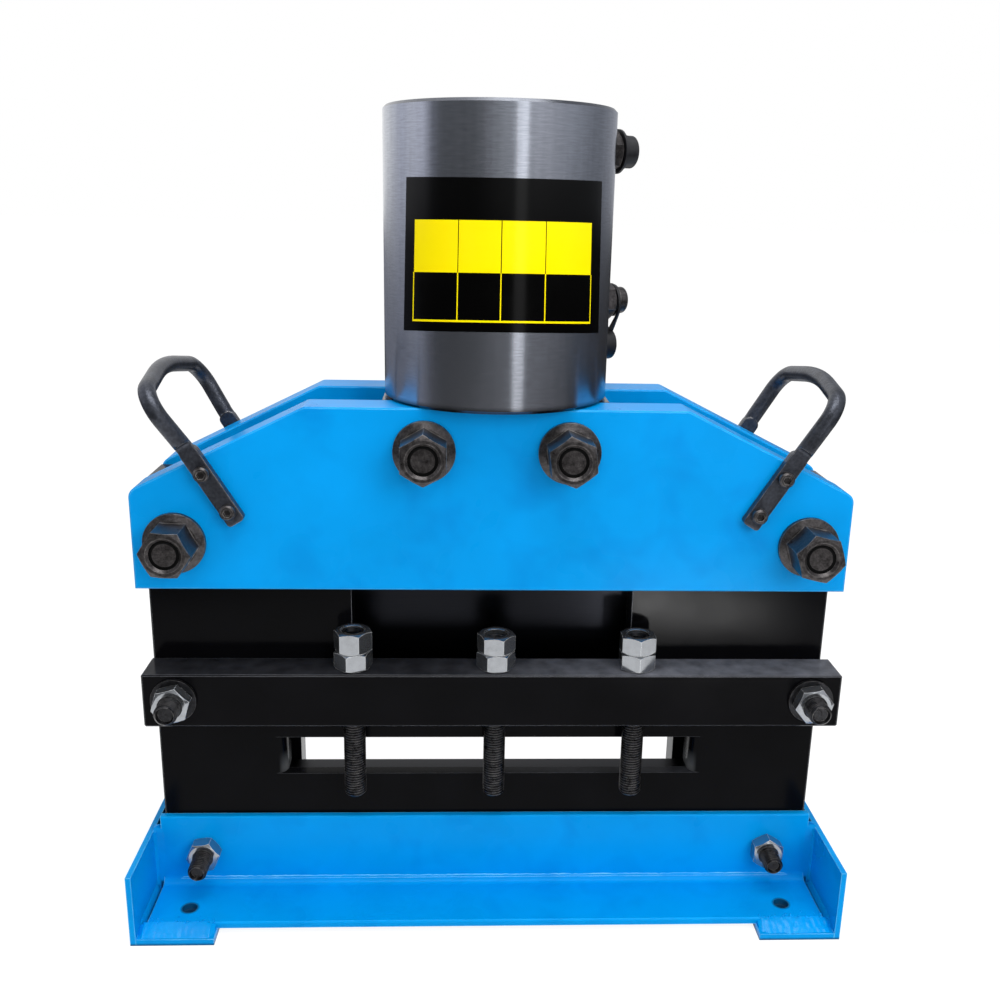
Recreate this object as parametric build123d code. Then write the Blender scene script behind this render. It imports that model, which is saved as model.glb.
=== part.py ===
from build123d import *
import math
import os

# A bench machine that shears flat busbar. A hydraulic cylinder pushes a blade down between two slotted
# guide plates, and the bar is cut against a fixed blade in the front plate.
# Sizes are in millimetres. X runs along the slot, Y from front to back and Z up.
# The origin is on the floor, under the middle of the machine.

# Base: two steel angles on foot plates, closed by end plates
foot_thickness = 5.0
foot_width = 55.2
base_depth = 184.0
end_plate_thickness = 4.0
end_plate_height = 55.5
angle_overhang = 2.5
angle_leg_height = 61.5
angle_leg_depth = 53.0
angle_thickness = 5.0
angle_root_radius = 6.0
angle_end_gap = 5.2
anchor_hole_diameter = 11.0
anchor_hole_inset = 31.7
anchor_hole_reach = 36.5

# Body: two guide plates with a spacer as thick as the blade and its clearance
body_width = 490.0
guide_plate_thickness = 21.0
plate_edge_chamfer = 1.0
blade_thickness = 11.8
blade_side_clearance = 0.1
blade_length = 321.0
blade_end_clearance = 0.5
body_top_drop = 2.0

# Busbar slot
slot_floor_z = 100.0
slot_height = 30.0
slot_length = 304.0
slot_end_round = 9.0
rear_slot_length = 292.0
rear_slot_drop = 20.0
rear_slot_rise = 1.0

# Stroke, blades and the carrier that holds the moving blade
stroke = 80.0
blade_rest_gap = 2.0
blade_overlap = 7.0
channel_floor_gap = 5.0
recess_width = 203.0
recess_floor_gap = 4.0
carrier_clearance = 0.4
carrier_tuck = 4.0
carrier_web = 8.0
tang_length = 190.0
tang_height = 30.0
tang_clearance = 0.1
lower_blade_length = 318.0
lower_blade_height = 30.0
lower_blade_thickness = 12.0
lower_blade_screw_diameter = 8.0
lower_blade_screw_places = (-120.0, -40.0, 40.0, 120.0)
lower_blade_screw_depth = 18.0
countersink_recess = 0.3
blade_screw_diameter = 10.0
blade_screw_head_diameter = 16.0
blade_screw_places = (-70.0, -30.0, 30.0, 70.0)
blade_screw_end_cover = 7.0

# Cheek plates that carry the cylinder
cheek_thickness = 30.0
cheek_bottom_z = 258.0
cheek_shoulder_height = 69.0
cheek_height = 127.0
cheek_top_width = 255.0
cheek_shoulder_radius = 8.0
cheek_top_radius = 6.0

# Frame bolts with tall collar nuts in front and hexagon heads behind
frame_bolt_diameter = 20.0
frame_bolt_clearance = 2.0
frame_bolt_recess = 2.0
collar_nut_height = 30.0
collar_nut_flats = 30.0
collar_diameter = 42.0
collar_height = 6.0
collar_rim_height = 3.2
collar_cone_diameter = 33.0
collar_nut_mouth = 1.8
bolt_head_height = 12.5
frame_washer_diameter = 37.0
frame_washer_thickness = 3.0
outer_bolt_inset = 29.0
outer_bolt_rise = 33.5
inner_bolt_x = 48.5
inner_bolt_rise = 20.0
collar_nut_turns = (-3.0, 30.0, 37.0, 47.0)

# Studs and nuts of the base and the clamp bar
base_stud_diameter = 14.0
base_stud_inset = 30.0
base_stud_rise = 32.5
base_stud_tip = 17.0
base_stud_shifts = (2.0, -2.0)
base_nut_flats = 22.0
base_nut_height = 11.0
base_nut_turns = (6.5, 28.0)
stud_diameter = 16.0
stud_hole_clearance = 1.0
stud_tip_chamfer = 1.5
stud_nut_flats = 24.0
nut_mouth = 0.7
nut_face_share = 0.94
thread_gap = 0.05
clamp_stud_tip = 13.0
clamp_nut_height = 10.0
clamp_nut_turns = (14.5, 9.0)
clamp_washer_diameter = 32.0
clamp_washer_thickness = 2.5

# Clamp bar and hold-down screws
clamp_bar_length = 497.0
clamp_bar_height = 40.0
clamp_bar_depth = 30.0
clamp_bar_bottom_z = 154.2
clamp_bar_offset = 2.5
clamp_bar_chamfer = 1.0
clamp_stud_inset = 18.6
clamp_stud_rise = 21.2
hold_down_pitch = 102.0
hold_down_tip_drop = 7.0
hold_down_sinks = (1.0, 4.0, 1.5)
hold_down_nut_heights = ((13.2, 15.4), (13.0, 13.2), (13.0, 13.2))
hold_down_nut_turns = ((14.0, -7.5), (3.0, -9.0), (31.0, 30.0))

# Handles bent by hand from round bar, with milled flats at their ends that are screwed to the cheek plates
handle_bar_diameter = 11.5
handle_foot_x = 172.6
handle_foot_rise = 49.0
handle_tilt = 31.75
handle_corner_rise = 101.5
handle_leans = (14.4, 2.0)
handle_bow = 9.5
handle_lean_radius = 20.0
handle_bend_radius = 18.0
handle_bow_radius = 150.0
handle_flat_length = 60.0
handle_flat_width = 12.2
handle_flat_thickness = 6.5
handle_flat_corner = 2.5
handle_flat_shoulder = 5.0
handle_scoop_radius = 3.0
handle_screw_places = (9.8, 40.0)
handle_screw_diameter = 6.0
handle_screw_clearance = 0.6
handle_screw_head_diameter = 10.5
handle_screw_head_height = 5.5
handle_screw_socket = 5.0
handle_screw_socket_depth = 3.0
handle_screw_depth = 16.0

# Hydraulic cylinder
barrel_diameter = 155.4
barrel_height = 191.0
barrel_chamfer = 2.0
barrel_cap_thickness = 26.0
bore_diameter = 130.0
head_step = 3.0
head_spigot_length = 13.0
head_spigot_clearance = 0.1
tongue_gap = 6.0
tongue_inner_x = 28.0
tongue_outer_x = 78.0
tongue_clearance = 0.1
head_seal_height = 5.0
head_seal_depth = 4.0
bush_wall = 4.0
bush_bottom = 9.0
rod_seal_wall = 6.0
rod_seal_height = 7.0
rod_seal_cover = 7.5
rod_seal_gap = 3.5
rod_wiper_wall = 5.0
rod_wiper_height = 6.0

# Piston and rod
rod_diameter = 45.0
rod_running_clearance = 0.05
rod_bore_clearance = 0.5
rod_spigot_diameter = 32.0
rod_spigot_length = 30.0
cross_pin_diameter = 10.0
cross_pin_end_cover = 1.5
piston_length = 28.0
piston_end_gap = 2.0
piston_clearance = 0.3
piston_foot_chamfer = 8.0
ring_running_clearance = 0.05
ring_depth = 5.0
piston_seal_height = 6.0
piston_seal_rise = 18.0
piston_ring_height = 5.0
piston_ring_rise = 10.0
piston_nut_diameter = 56.0
piston_nut_height = 10.0
piston_nut_slot = 7.0
piston_nut_slot_depth = 4.0
nut_pocket_clearance = 1.0

# Couplers and dust caps
coupler_turn = 22.0
port_thread_diameter = 13.2
port_depth = 9.0
port_drill_diameter = 8.0
port_above_cavity = 2.3
port_above_head = 11.5
port_drill_inset = 9.0
spot_face_depth = 1.7
coupler_flats = 25.0
coupler_hex_length = 13.0
coupler_hex_turns = (14.0, -8.0)
coupler_groove_diameter = 20.0
coupler_groove_length = 2.5
coupler_collar_diameter = 23.0
coupler_collar_length = 1.5
coupler_nose_diameter = 19.0
coupler_nose_length = 7.7
coupler_nose_round = 2.0
coupler_passage_diameter = 6.0
cap_wall = 1.3
cap_end_wall = 1.6
cap_clearance = 0.2
cap_seat_gap = 0.3
cap_rim_width = 2.5
cap_rim_step = 0.5
cap_round = 1.5
cap_ring_wall = 5.0
strap_thickness = 1.7
strap_hang_gap = 0.3
strap_wall = 1.9
strap_loop_drop = 2.3
strap_slit_drop = 18.5
strap_slit_radius = 1.8
strap_foot_drop = 20.5
strap_foot_radius = 5.0
hanging_cap_drop = 31.5
hanging_cap_proud = 0.8

# Heights and depths that follow from the sizes above
blade_gap = blade_thickness + 2 * blade_side_clearance
gap_y = blade_gap / 2
body_y = gap_y + guide_plate_thickness
cheek_y = body_y + cheek_thickness
body_x = body_width / 2
cheek_x = body_x
body_bottom_z = foot_thickness
cheek_shoulder_z = cheek_bottom_z + cheek_shoulder_height
cheek_top_z = cheek_bottom_z + cheek_height
body_top_z = cheek_shoulder_z - body_top_drop
slot_top_z = slot_floor_z + slot_height
rear_slot_top_z = slot_top_z + rear_slot_rise
blade_low_z = rear_slot_top_z + blade_rest_gap
blade_rake = stroke - (blade_low_z - slot_floor_z) - blade_overlap
channel_floor_z = blade_low_z - stroke - channel_floor_gap
channel_x = blade_length / 2 + blade_end_clearance
carrier_bottom_z = cheek_bottom_z + carrier_tuck
tang_top_z = carrier_bottom_z + tang_height
spigot_bottom_z = tang_top_z + carrier_web
carrier_top_z = spigot_bottom_z + rod_spigot_length
carrier_x = recess_width / 2 - carrier_clearance
carrier_y = body_y - carrier_clearance
recess_floor_z = carrier_bottom_z - stroke - recess_floor_gap
angle_x = body_x + angle_overhang
foot_outer_x = angle_x + angle_end_gap
angle_top_z = foot_thickness + angle_leg_height
base_stud_x = body_x - base_stud_inset
base_stud_z = body_bottom_z + base_stud_rise
clamp_bar_y = body_y + clamp_bar_depth
clamp_bar_top_z = clamp_bar_bottom_z + clamp_bar_height
clamp_stud_reach = body_x - clamp_stud_inset
clamp_stud_places = [clamp_bar_offset + side * clamp_stud_reach for side in (-1, 1)]
clamp_stud_z = clamp_bar_bottom_z + clamp_stud_rise
hold_down_y = -(body_y + clamp_bar_depth / 2)
hold_down_x = [clamp_bar_offset + step * hold_down_pitch for step in (-1, 0, 1)]
hold_down_tip_z = slot_floor_z - hold_down_tip_drop
tongue_bottom_z = carrier_top_z + tongue_gap
outer_bolt_x = cheek_x - outer_bolt_inset
outer_bolt_z = cheek_bottom_z + outer_bolt_rise
inner_bolt_z = tongue_bottom_z + inner_bolt_rise
outer_bolts = [(-outer_bolt_x, outer_bolt_z), (outer_bolt_x, outer_bolt_z)]
inner_bolts = [(-inner_bolt_x, inner_bolt_z), (inner_bolt_x, inner_bolt_z)]
frame_bolts = [outer_bolts[0], inner_bolts[0], inner_bolts[1], outer_bolts[1]]
frame_hole_diameter = frame_bolt_diameter + frame_bolt_clearance
stud_hole_diameter = stud_diameter + stud_hole_clearance
base_stud_hole_diameter = base_stud_diameter + stud_hole_clearance
barrel_bottom_z = cheek_top_z
barrel_top_z = barrel_bottom_z + barrel_height
cavity_top_z = barrel_top_z - barrel_cap_thickness
piston_top_z = cavity_top_z - piston_end_gap
piston_bottom_z = piston_top_z - piston_length
head_top_z = piston_bottom_z - stroke - piston_end_gap
head_step_z = head_top_z - head_spigot_length
head_diameter = bore_diameter + 2 * head_step
upper_port_z = cavity_top_z + port_above_cavity
lower_port_z = head_top_z + port_above_head
port_face = barrel_diameter / 2 - spot_face_depth
coupler_groove = port_face + coupler_hex_length
coupler_collar = coupler_groove + coupler_groove_length
coupler_nose = coupler_collar + coupler_collar_length
coupler_end = coupler_nose + coupler_nose_length


def block(x, y, z):
    """A box between a low and a high limit on each axis."""
    sizes = [high - low for low, high in (x, y, z)]
    middle = [(low + high) / 2 for low, high in (x, y, z)]
    return Pos(*middle) * Box(*sizes)


def bar_y(diameter, x, z, y):
    """A round bar along Y between two limits."""
    return Pos(x, (y[0] + y[1]) / 2, z) * Rot(90, 0, 0) * Cylinder(diameter / 2, y[1] - y[0])


def bar_z(diameter, z, x=0.0, y=0.0):
    """A round bar along Z between two limits."""
    return Pos(x, y, (z[0] + z[1]) / 2) * Cylinder(diameter / 2, z[1] - z[0])


def ring_z(outer, inner, z):
    """A ring about the Z axis."""
    return bar_z(outer, z) - bar_z(inner, z)


def hexagon(flats, height, both_ends=False):
    """A hexagonal prism on Z = 0, chamfered at its top corners, with a flat facing +Y."""
    corner_radius = flats / math.sqrt(3)
    face_radius = flats / 2 * nut_face_share
    drop = (corner_radius - face_radius) * math.tan(math.radians(30))
    outline = [(0, 0), (corner_radius, 0), (corner_radius, height - drop), (face_radius, height), (0, height)]
    if both_ends:
        outline[1:2] = [(face_radius, 0), (corner_radius, drop)]
    turned = revolve(Plane.XZ * Polygon(*outline, align=None), Axis.Z)
    return extrude(RegularPolygon(corner_radius, 6), height) & turned


def nut(flats, height, bore):
    """A nut standing on Z = 0, with both faces and both mouths of its bore chamfered."""
    body = hexagon(flats, height, both_ends=True) - bar_z(bore, (0, height))
    mouths = body.edges().filter_by(GeomType.CIRCLE).sort_by(SortBy.RADIUS)[:2]
    return chamfer(mouths, nut_mouth)


def stud(diameter, length):
    """A threaded bar from Z = 0 upwards, with both ends chamfered."""
    return chamfer(bar_z(diameter, (0, length)).edges(), stud_tip_chamfer)


def facing_front(x, y, z, turn=0.0):
    """Places a piece that stands on Z = 0 so that it points to the front, with its +Y side up."""
    return Pos(x, y, z) * Rot(90, 0, 0) * Rot(0, 0, turn)


def facing_rear(x, y, z, turn=0.0):
    """Places a piece that stands on Z = 0 so that it points to the rear."""
    return Pos(x, y, z) * Rot(-90, 0, 0) * Rot(0, 0, turn)


def group(pieces):
    """Like pieces that stay separate solids in one node."""
    return Compound([solid for piece in pieces for solid in piece.solids()])


# Base
def front_angle():
    span = (-angle_x, angle_x)
    upright = block(span, (-body_y - angle_thickness, -body_y), (foot_thickness, angle_top_z))
    leg_top_z = foot_thickness + angle_thickness
    leg = block(span, (-body_y - angle_leg_depth, -body_y), (foot_thickness, leg_top_z))
    angle = upright + leg
    root = (0, -body_y - angle_thickness, leg_top_z)
    angle = fillet(angle.edges().filter_by(Axis.X).sort_by_distance(root)[0], angle_root_radius)
    toe = (0, -body_y - angle_leg_depth, leg_top_z)
    crest = (0, -body_y - angle_thickness, angle_top_z)
    for corner in (toe, crest):
        angle = fillet(angle.edges().filter_by(Axis.X).sort_by_distance(corner)[0], angle_thickness / 3)
    for x in (-base_stud_x, base_stud_x):
        angle -= bar_y(base_stud_hole_diameter, x, base_stud_z, (-body_y - angle_leg_depth, -body_y))
    for x in (-1, 1):
        angle -= anchor_hole(x, -1)
    return angle


def anchor_hole(side_x, side_y):
    """The hole for a floor bolt, through the angle's leg and the foot plate."""
    x = side_x * (foot_outer_x - anchor_hole_inset)
    y = side_y * (body_y + anchor_hole_reach)
    return bar_z(anchor_hole_diameter, (0, foot_thickness + angle_thickness), x, y)


def foot_plate(side):
    inner = side * (foot_outer_x - foot_width)
    outer = side * foot_outer_x
    plate = block(sorted((inner, outer)), (-base_depth / 2, base_depth / 2), (0, foot_thickness))
    for side_y in (-1, 1):
        plate -= anchor_hole(side, side_y)
    return plate


def end_plate(side):
    inner = side * foot_outer_x
    outer = side * (foot_outer_x + end_plate_thickness)
    return block(sorted((inner, outer)), (-base_depth / 2, base_depth / 2), (0, end_plate_height))


def base_studs():
    end = body_y + angle_thickness + base_nut_height + base_stud_tip
    piece = stud(base_stud_diameter, 2 * end)
    places = zip((-base_stud_x, base_stud_x), base_stud_shifts)
    return group(facing_front(x, end - shift, base_stud_z) * piece for x, shift in places)


def base_nuts():
    piece = nut(base_nut_flats, base_nut_height, base_stud_diameter + 2 * thread_gap)
    face = body_y + angle_thickness
    nuts = []
    for x, turn in zip((-base_stud_x, base_stud_x), base_nut_turns):
        nuts.append(facing_front(x, -face, base_stud_z, turn) * piece)
        nuts.append(facing_rear(x, face, base_stud_z, turn) * piece)
    return group(nuts)


# Body
def guide_plate_blank(y):
    """A guide plate's outline with its ram recess and the holes that every layer shares."""
    plate = block((-body_x, body_x), y, (body_bottom_z, body_top_z))
    plate -= block((-recess_width / 2, recess_width / 2), y, (recess_floor_z, body_top_z))
    return drill_body(plate, y)


def drill_body(plate, y):
    for x, z in outer_bolts:
        plate -= bar_y(frame_hole_diameter, x, z, y)
    for x in (-base_stud_x, base_stud_x):
        plate -= bar_y(base_stud_hole_diameter, x, base_stud_z, y)
    return plate


def clamp_stud_hole(x, y):
    return bar_y(stud_diameter + 2 * thread_gap, x, clamp_stud_z, y)


def front_guide_plate():
    plate = guide_plate_blank((-body_y, -gap_y))
    half = slot_length / 2
    plate -= block((-half, half), (-body_y, -gap_y), (slot_floor_z, slot_top_z))
    middle = (slot_floor_z + slot_top_z) / 2
    ends = [(-half, -body_y, middle), (half, -body_y, middle)]
    plate = fillet([plate.edges().filter_by(Axis.Z).sort_by_distance(end)[0] for end in ends], slot_end_round)
    plate -= lower_blade_block()
    for x in lower_blade_screw_places:
        plate -= bar_y(lower_blade_screw_diameter, x, lower_blade_screw_z(), lower_blade_screw_span())
    for x in clamp_stud_places:
        plate -= clamp_stud_hole(x, (-body_y, -gap_y))
    corners = [(-body_x, -body_y, body_top_z / 2), (body_x, -body_y, body_top_z / 2)]
    edges = [plate.edges().filter_by(Axis.Z).sort_by_distance(corner)[0] for corner in corners]
    return chamfer(edges, plate_edge_chamfer)


def rear_guide_plate():
    plate = guide_plate_blank((gap_y, body_y))
    half = rear_slot_length / 2
    plate -= block((-half, half), (gap_y, body_y), (slot_floor_z - rear_slot_drop, rear_slot_top_z))
    corners = [(-body_x, body_y, body_top_z / 2), (body_x, body_y, body_top_z / 2)]
    edges = [plate.edges().filter_by(Axis.Z).sort_by_distance(corner)[0] for corner in corners]
    return chamfer(edges, plate_edge_chamfer)


def guide_spacer():
    spacer = block((-body_x, body_x), (-gap_y, gap_y), (body_bottom_z, body_top_z))
    spacer -= block((-channel_x, channel_x), (-gap_y, gap_y), (channel_floor_z, body_top_z))
    for x in clamp_stud_places:
        spacer -= clamp_stud_hole(x, (-gap_y, gap_y))
    return drill_body(spacer, (-gap_y, gap_y))


def lower_blade_block():
    half = lower_blade_length / 2
    low = slot_floor_z - lower_blade_height
    return block((-half, half), (-gap_y - lower_blade_thickness, -gap_y), (low, slot_floor_z))


def lower_blade_screw_z():
    return slot_floor_z - lower_blade_height / 2


def lower_blade_screw_span():
    return (-gap_y - countersink_recess - lower_blade_screw_depth, -gap_y)


def countersunk_screw():
    """A screw that goes down from a countersunk head at Z = 0."""
    radius = lower_blade_screw_diameter / 2
    outline = [(0, 0), (2 * radius, 0), (radius, -radius), (radius, -lower_blade_screw_depth),
               (0, -lower_blade_screw_depth)]
    return revolve(Plane.XZ * Polygon(*outline, align=None), Axis.Z)


def lower_blade():
    blade = lower_blade_block()
    seat = countersunk_screw() + bar_z(2 * lower_blade_screw_diameter, (0, countersink_recess))
    for x in lower_blade_screw_places:
        blade -= facing_rear(x, -gap_y - countersink_recess, lower_blade_screw_z()) * seat
    return blade


def lower_blade_screws():
    socket = extrude(RegularPolygon(lower_blade_screw_diameter / 3, 6), -lower_blade_screw_diameter / 3)
    piece = countersunk_screw() - socket
    y = -gap_y - countersink_recess
    return group(facing_rear(x, y, lower_blade_screw_z()) * piece for x in lower_blade_screw_places)


# Clamp bar and hold-down screws
def clamp_bar():
    half = clamp_bar_length / 2
    span = (clamp_bar_offset - half, clamp_bar_offset + half)
    bar = block(span, (-clamp_bar_y, -body_y), (clamp_bar_bottom_z, clamp_bar_top_z))
    bar = chamfer(bar.edges(), clamp_bar_chamfer)
    for x in clamp_stud_places:
        bar -= bar_y(stud_hole_diameter, x, clamp_stud_z, (-clamp_bar_y, -body_y))
    for x in hold_down_x:
        bar -= bar_z(stud_diameter + 2 * thread_gap, (clamp_bar_bottom_z, clamp_bar_top_z), x, hold_down_y)
    return bar


def clamp_bar_studs():
    face = clamp_bar_y + clamp_washer_thickness + clamp_nut_height + clamp_stud_tip
    piece = stud(stud_diameter, face + gap_y)
    return group(facing_front(x, gap_y, clamp_stud_z) * piece for x in clamp_stud_places)


def clamp_bar_washers():
    piece = ring_z(clamp_washer_diameter, stud_hole_diameter, (0, clamp_washer_thickness))
    return group(facing_front(x, -clamp_bar_y, clamp_stud_z) * piece for x in clamp_stud_places)


def clamp_bar_nuts():
    piece = nut(stud_nut_flats, clamp_nut_height, stud_diameter + 2 * thread_gap)
    face = clamp_bar_y + clamp_washer_thickness
    places = zip(clamp_stud_places, clamp_nut_turns)
    return group(facing_front(x, -face, clamp_stud_z, turn) * piece for x, turn in places)


def hold_down_screw(x, heights, sink):
    """A screw whose upper end lies a little below the top of its two nuts."""
    length = clamp_bar_top_z + sum(heights) - sink - hold_down_tip_z
    return Pos(x, hold_down_y, hold_down_tip_z) * stud(stud_diameter, length)


def hold_down_nuts(x, heights, turns):
    nuts = []
    z = clamp_bar_top_z
    for height, turn in zip(heights, turns):
        piece = nut(stud_nut_flats, height, stud_diameter + 2 * thread_gap)
        nuts.append(Pos(x, hold_down_y, z) * Rot(0, 0, turn) * piece)
        z += height
    return group(nuts)


# Cheek plates and their bolts
def front_cheek_plate():
    half_top = cheek_top_width / 2
    outline = [(-cheek_x, cheek_bottom_z), (cheek_x, cheek_bottom_z), (cheek_x, cheek_shoulder_z),
               (half_top, cheek_top_z), (-half_top, cheek_top_z), (-cheek_x, cheek_shoulder_z)]
    plate = extrude(Plane.XZ.offset(body_y) * Polygon(*outline, align=None), cheek_thickness)
    for x in (-1, 1):
        shoulder = (x * cheek_x, -body_y, cheek_shoulder_z)
        edge = plate.edges().filter_by(Axis.Y).sort_by_distance(shoulder)[0]
        plate = fillet(edge, cheek_shoulder_radius)
        top = (x * half_top, -body_y, cheek_top_z)
        edge = plate.edges().filter_by(Axis.Y).sort_by_distance(top)[0]
        plate = fillet(edge, cheek_top_radius)
    faces = plate.faces().sort_by(Axis.Y)
    plate = chamfer(faces[0].edges() + faces[-1].edges(), plate_edge_chamfer)
    for x, z in frame_bolts:
        plate -= bar_y(frame_hole_diameter, x, z, (-cheek_y, -body_y))
    for side in (-1, 1):
        for x, z in handle_screw_points(side):
            plate -= bar_y(handle_screw_diameter, x, z, (-cheek_y, -cheek_y + handle_screw_depth))
    return plate


def frame_bolt_set():
    seat = cheek_y + frame_washer_thickness
    tip = cheek_y + collar_nut_height - frame_bolt_recess
    shank = chamfer(bar_z(frame_bolt_diameter, (0, seat + tip)).edges().sort_by(Axis.Z)[0], stud_tip_chamfer)
    bolt = shank + Pos(0, 0, seat + tip) * hexagon(collar_nut_flats, bolt_head_height)
    return group(facing_rear(x, -tip, z) * bolt for x, z in frame_bolts)


def frame_washers():
    piece = ring_z(frame_washer_diameter, frame_hole_diameter, (0, frame_washer_thickness))
    return group(facing_rear(x, cheek_y, z) * piece for x, z in frame_bolts)


def collar_nuts():
    bore = frame_bolt_diameter + 2 * thread_gap
    piece = hexagon(collar_nut_flats, collar_nut_height)
    rim = collar_diameter / 2
    outline = [(0, 0), (rim, 0), (rim, collar_rim_height), (collar_cone_diameter / 2, collar_height), (0, collar_height)]
    piece += revolve(Plane.XZ * Polygon(*outline, align=None), Axis.Z)
    piece -= bar_z(bore, (0, collar_nut_height))
    top_circles = piece.edges().filter_by(GeomType.CIRCLE).group_by(Axis.Z)[-1]
    piece = chamfer(top_circles.sort_by(SortBy.RADIUS)[0], collar_nut_mouth)
    places = zip(frame_bolts, collar_nut_turns)
    return group(facing_front(x, -cheek_y, z, turn) * piece for (x, z), turn in places)


# Handles
def handle_point(side, along):
    """A point on a handle leg's middle line, measured up from the leg's foot."""
    tilt = math.radians(handle_tilt)
    x = side * (handle_foot_x + along * math.sin(tilt))
    return x, cheek_bottom_z + handle_foot_rise + along * math.cos(tilt)


def handle_screw_points(side):
    return [handle_point(side, along) for along in handle_screw_places]


def handle_route(side):
    """A handle's middle line, seen square to its legs: legs that lean outwards, two bends and a bowed top."""
    lean = math.radians(handle_leans[0] if side < 0 else handle_leans[1])
    bar_line = cheek_y + handle_bar_diameter / 2
    corner_y = bar_line + (handle_corner_rise - handle_flat_length) * math.tan(lean)
    apex = (0, handle_corner_rise + corner_y * math.tan(math.radians(handle_bow)))
    front = [(-bar_line, handle_flat_corner), (-bar_line, handle_flat_length), (-corner_y, handle_corner_rise)]
    rear = [(-y, rise) for y, rise in reversed(front)]
    bends = [handle_lean_radius, handle_bend_radius, handle_bow_radius, handle_bend_radius, handle_lean_radius]
    return FilletPolyline(*front, apex, *rear, radius=bends)


def handle(side):
    foot = handle_point(side, 0)
    end = handle_point(side, handle_corner_rise)
    run, rise = end[0] - foot[0], end[1] - foot[1]
    path = Plane(origin=(foot[0], 0, foot[1]), x_dir=(0, 1, 0), z_dir=(rise, 0, -run)) * handle_route(side)
    section = Plane(origin=path @ 0, z_dir=path % 0) * Circle(handle_bar_diameter / 2)
    grip = sweep(section, path=path)
    leg = Plane(origin=(foot[0], 0, foot[1]), x_dir=(0, 1, 0), z_dir=(run, 0, rise))
    flat_y = cheek_y + handle_flat_thickness
    flat = block((cheek_y, flat_y), (-handle_flat_width / 2, handle_flat_width / 2), (0, handle_flat_length))
    flat = fillet(flat.edges().filter_by(Axis.X).sort_by(Axis.Z)[:2], handle_flat_corner)
    flat = fillet(flat.edges().filter_by(Axis.X).sort_by(Axis.Z)[-2:], handle_flat_shoulder)
    for turn in (0, 180):
        grip -= leg * Rot(0, 0, turn) * handle_milling(flat_y)
        grip += leg * Rot(0, 0, turn) * flat
    hole = handle_screw_diameter + handle_screw_clearance
    for x, z in handle_screw_points(side):
        grip -= bar_y(hole, x, z, (-cheek_y - handle_flat_thickness, -cheek_y))
        grip -= bar_y(hole, x, z, (cheek_y, cheek_y + handle_flat_thickness))
    return grip


def handle_milling(flat_y):
    """What the cutter takes off a leg: a flat that runs out in a small round."""
    top = handle_flat_length + handle_scoop_radius
    width = (-handle_bar_diameter, handle_bar_diameter)
    cut = block((flat_y, flat_y + handle_bar_diameter), width, (-handle_bar_diameter, top))
    inner_edge = cut.edges().filter_by(Axis.Y).sort_by_distance((flat_y, 0, top))[0]
    return fillet(inner_edge, handle_scoop_radius)


def handle_screws():
    shank = handle_flat_thickness + handle_screw_depth
    head = bar_z(handle_screw_head_diameter, (shank, shank + handle_screw_head_height))
    head = chamfer(head.edges().sort_by(Axis.Z)[-1], handle_screw_head_height / 5)
    socket_radius = handle_screw_socket / math.sqrt(3)
    top = Plane.XY.offset(shank + handle_screw_head_height)
    head -= extrude(top * RegularPolygon(socket_radius, 6), -handle_screw_socket_depth)
    piece = head + bar_z(handle_screw_diameter, (0, shank))
    foot = cheek_y - handle_screw_depth
    screws = []
    for side in (-1, 1):
        for x, z in handle_screw_points(side):
            screws.append(facing_front(x, -foot, z) * piece)
            screws.append(facing_rear(x, foot, z) * piece)
    return group(screws)


# Cylinder
def port_plane(z):
    """A plane at a port's height whose Z axis points out along the coupler and X axis points up."""
    turn = math.radians(coupler_turn)
    return Plane(origin=(0, 0, z), x_dir=(0, 0, 1), z_dir=(math.cos(turn), math.sin(turn), 0))


def cylinder_barrel():
    barrel = bar_z(barrel_diameter, (barrel_bottom_z, barrel_top_z))
    barrel = chamfer(barrel.edges().filter_by(GeomType.CIRCLE), barrel_chamfer)
    barrel -= bar_z(bore_diameter, (barrel_bottom_z, cavity_top_z))
    barrel -= bar_z(head_diameter, (barrel_bottom_z, head_step_z))
    thread_end = port_face - port_depth
    bore_radius = bore_diameter / 2
    for z, drill_end in ((upper_port_z, bore_radius - port_drill_inset), (lower_port_z, bore_radius - 1)):
        port = bar_z(2 * coupler_flats, (port_face, barrel_diameter / 2))
        port += bar_z(port_thread_diameter, (thread_end, port_face))
        port += bar_z(port_drill_diameter, (drill_end, thread_end))
        barrel -= port_plane(z) * port
    turn = math.radians(coupler_turn)
    reach = bore_radius - port_drill_inset
    drill = bar_z(port_drill_diameter, (cavity_top_z, upper_port_z), reach * math.cos(turn), reach * math.sin(turn))
    return barrel - drill


def cylinder_head():
    spigot_diameter = bore_diameter - 2 * head_spigot_clearance
    head = bar_z(head_diameter, (barrel_bottom_z, head_step_z)) + bar_z(spigot_diameter, (head_step_z, head_top_z))
    tongue_y = body_y - tongue_clearance
    for side in (-1, 1):
        reach = sorted((side * tongue_inner_x, side * tongue_outer_x))
        head += block(reach, (-tongue_y, tongue_y), (tongue_bottom_z, barrel_bottom_z))
    head -= bar_z(rod_diameter + 2 * rod_bore_clearance, (tongue_bottom_z, head_top_z))
    head -= bar_z(bush_outer(), bush_span())
    head -= bar_z(rod_diameter + 2 * rod_seal_wall, rod_seal_span())
    head -= bar_z(rod_diameter + 2 * rod_wiper_wall, rod_wiper_span())
    head -= head_seal_ring()
    for x, z in inner_bolts:
        head -= bar_y(frame_hole_diameter, x, z, (-body_y, body_y))
    return head


def head_seal_ring():
    middle = head_step_z + head_spigot_length / 2
    span = (middle - head_seal_height / 2, middle + head_seal_height / 2)
    return ring_z(bore_diameter, bore_diameter - 2 * head_seal_depth, span)


def running_bore():
    return rod_diameter + 2 * rod_running_clearance


def bush_outer():
    return rod_diameter + 2 * bush_wall


def bush_span():
    return barrel_bottom_z + bush_bottom, rod_seal_span()[0] - rod_seal_gap


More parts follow.
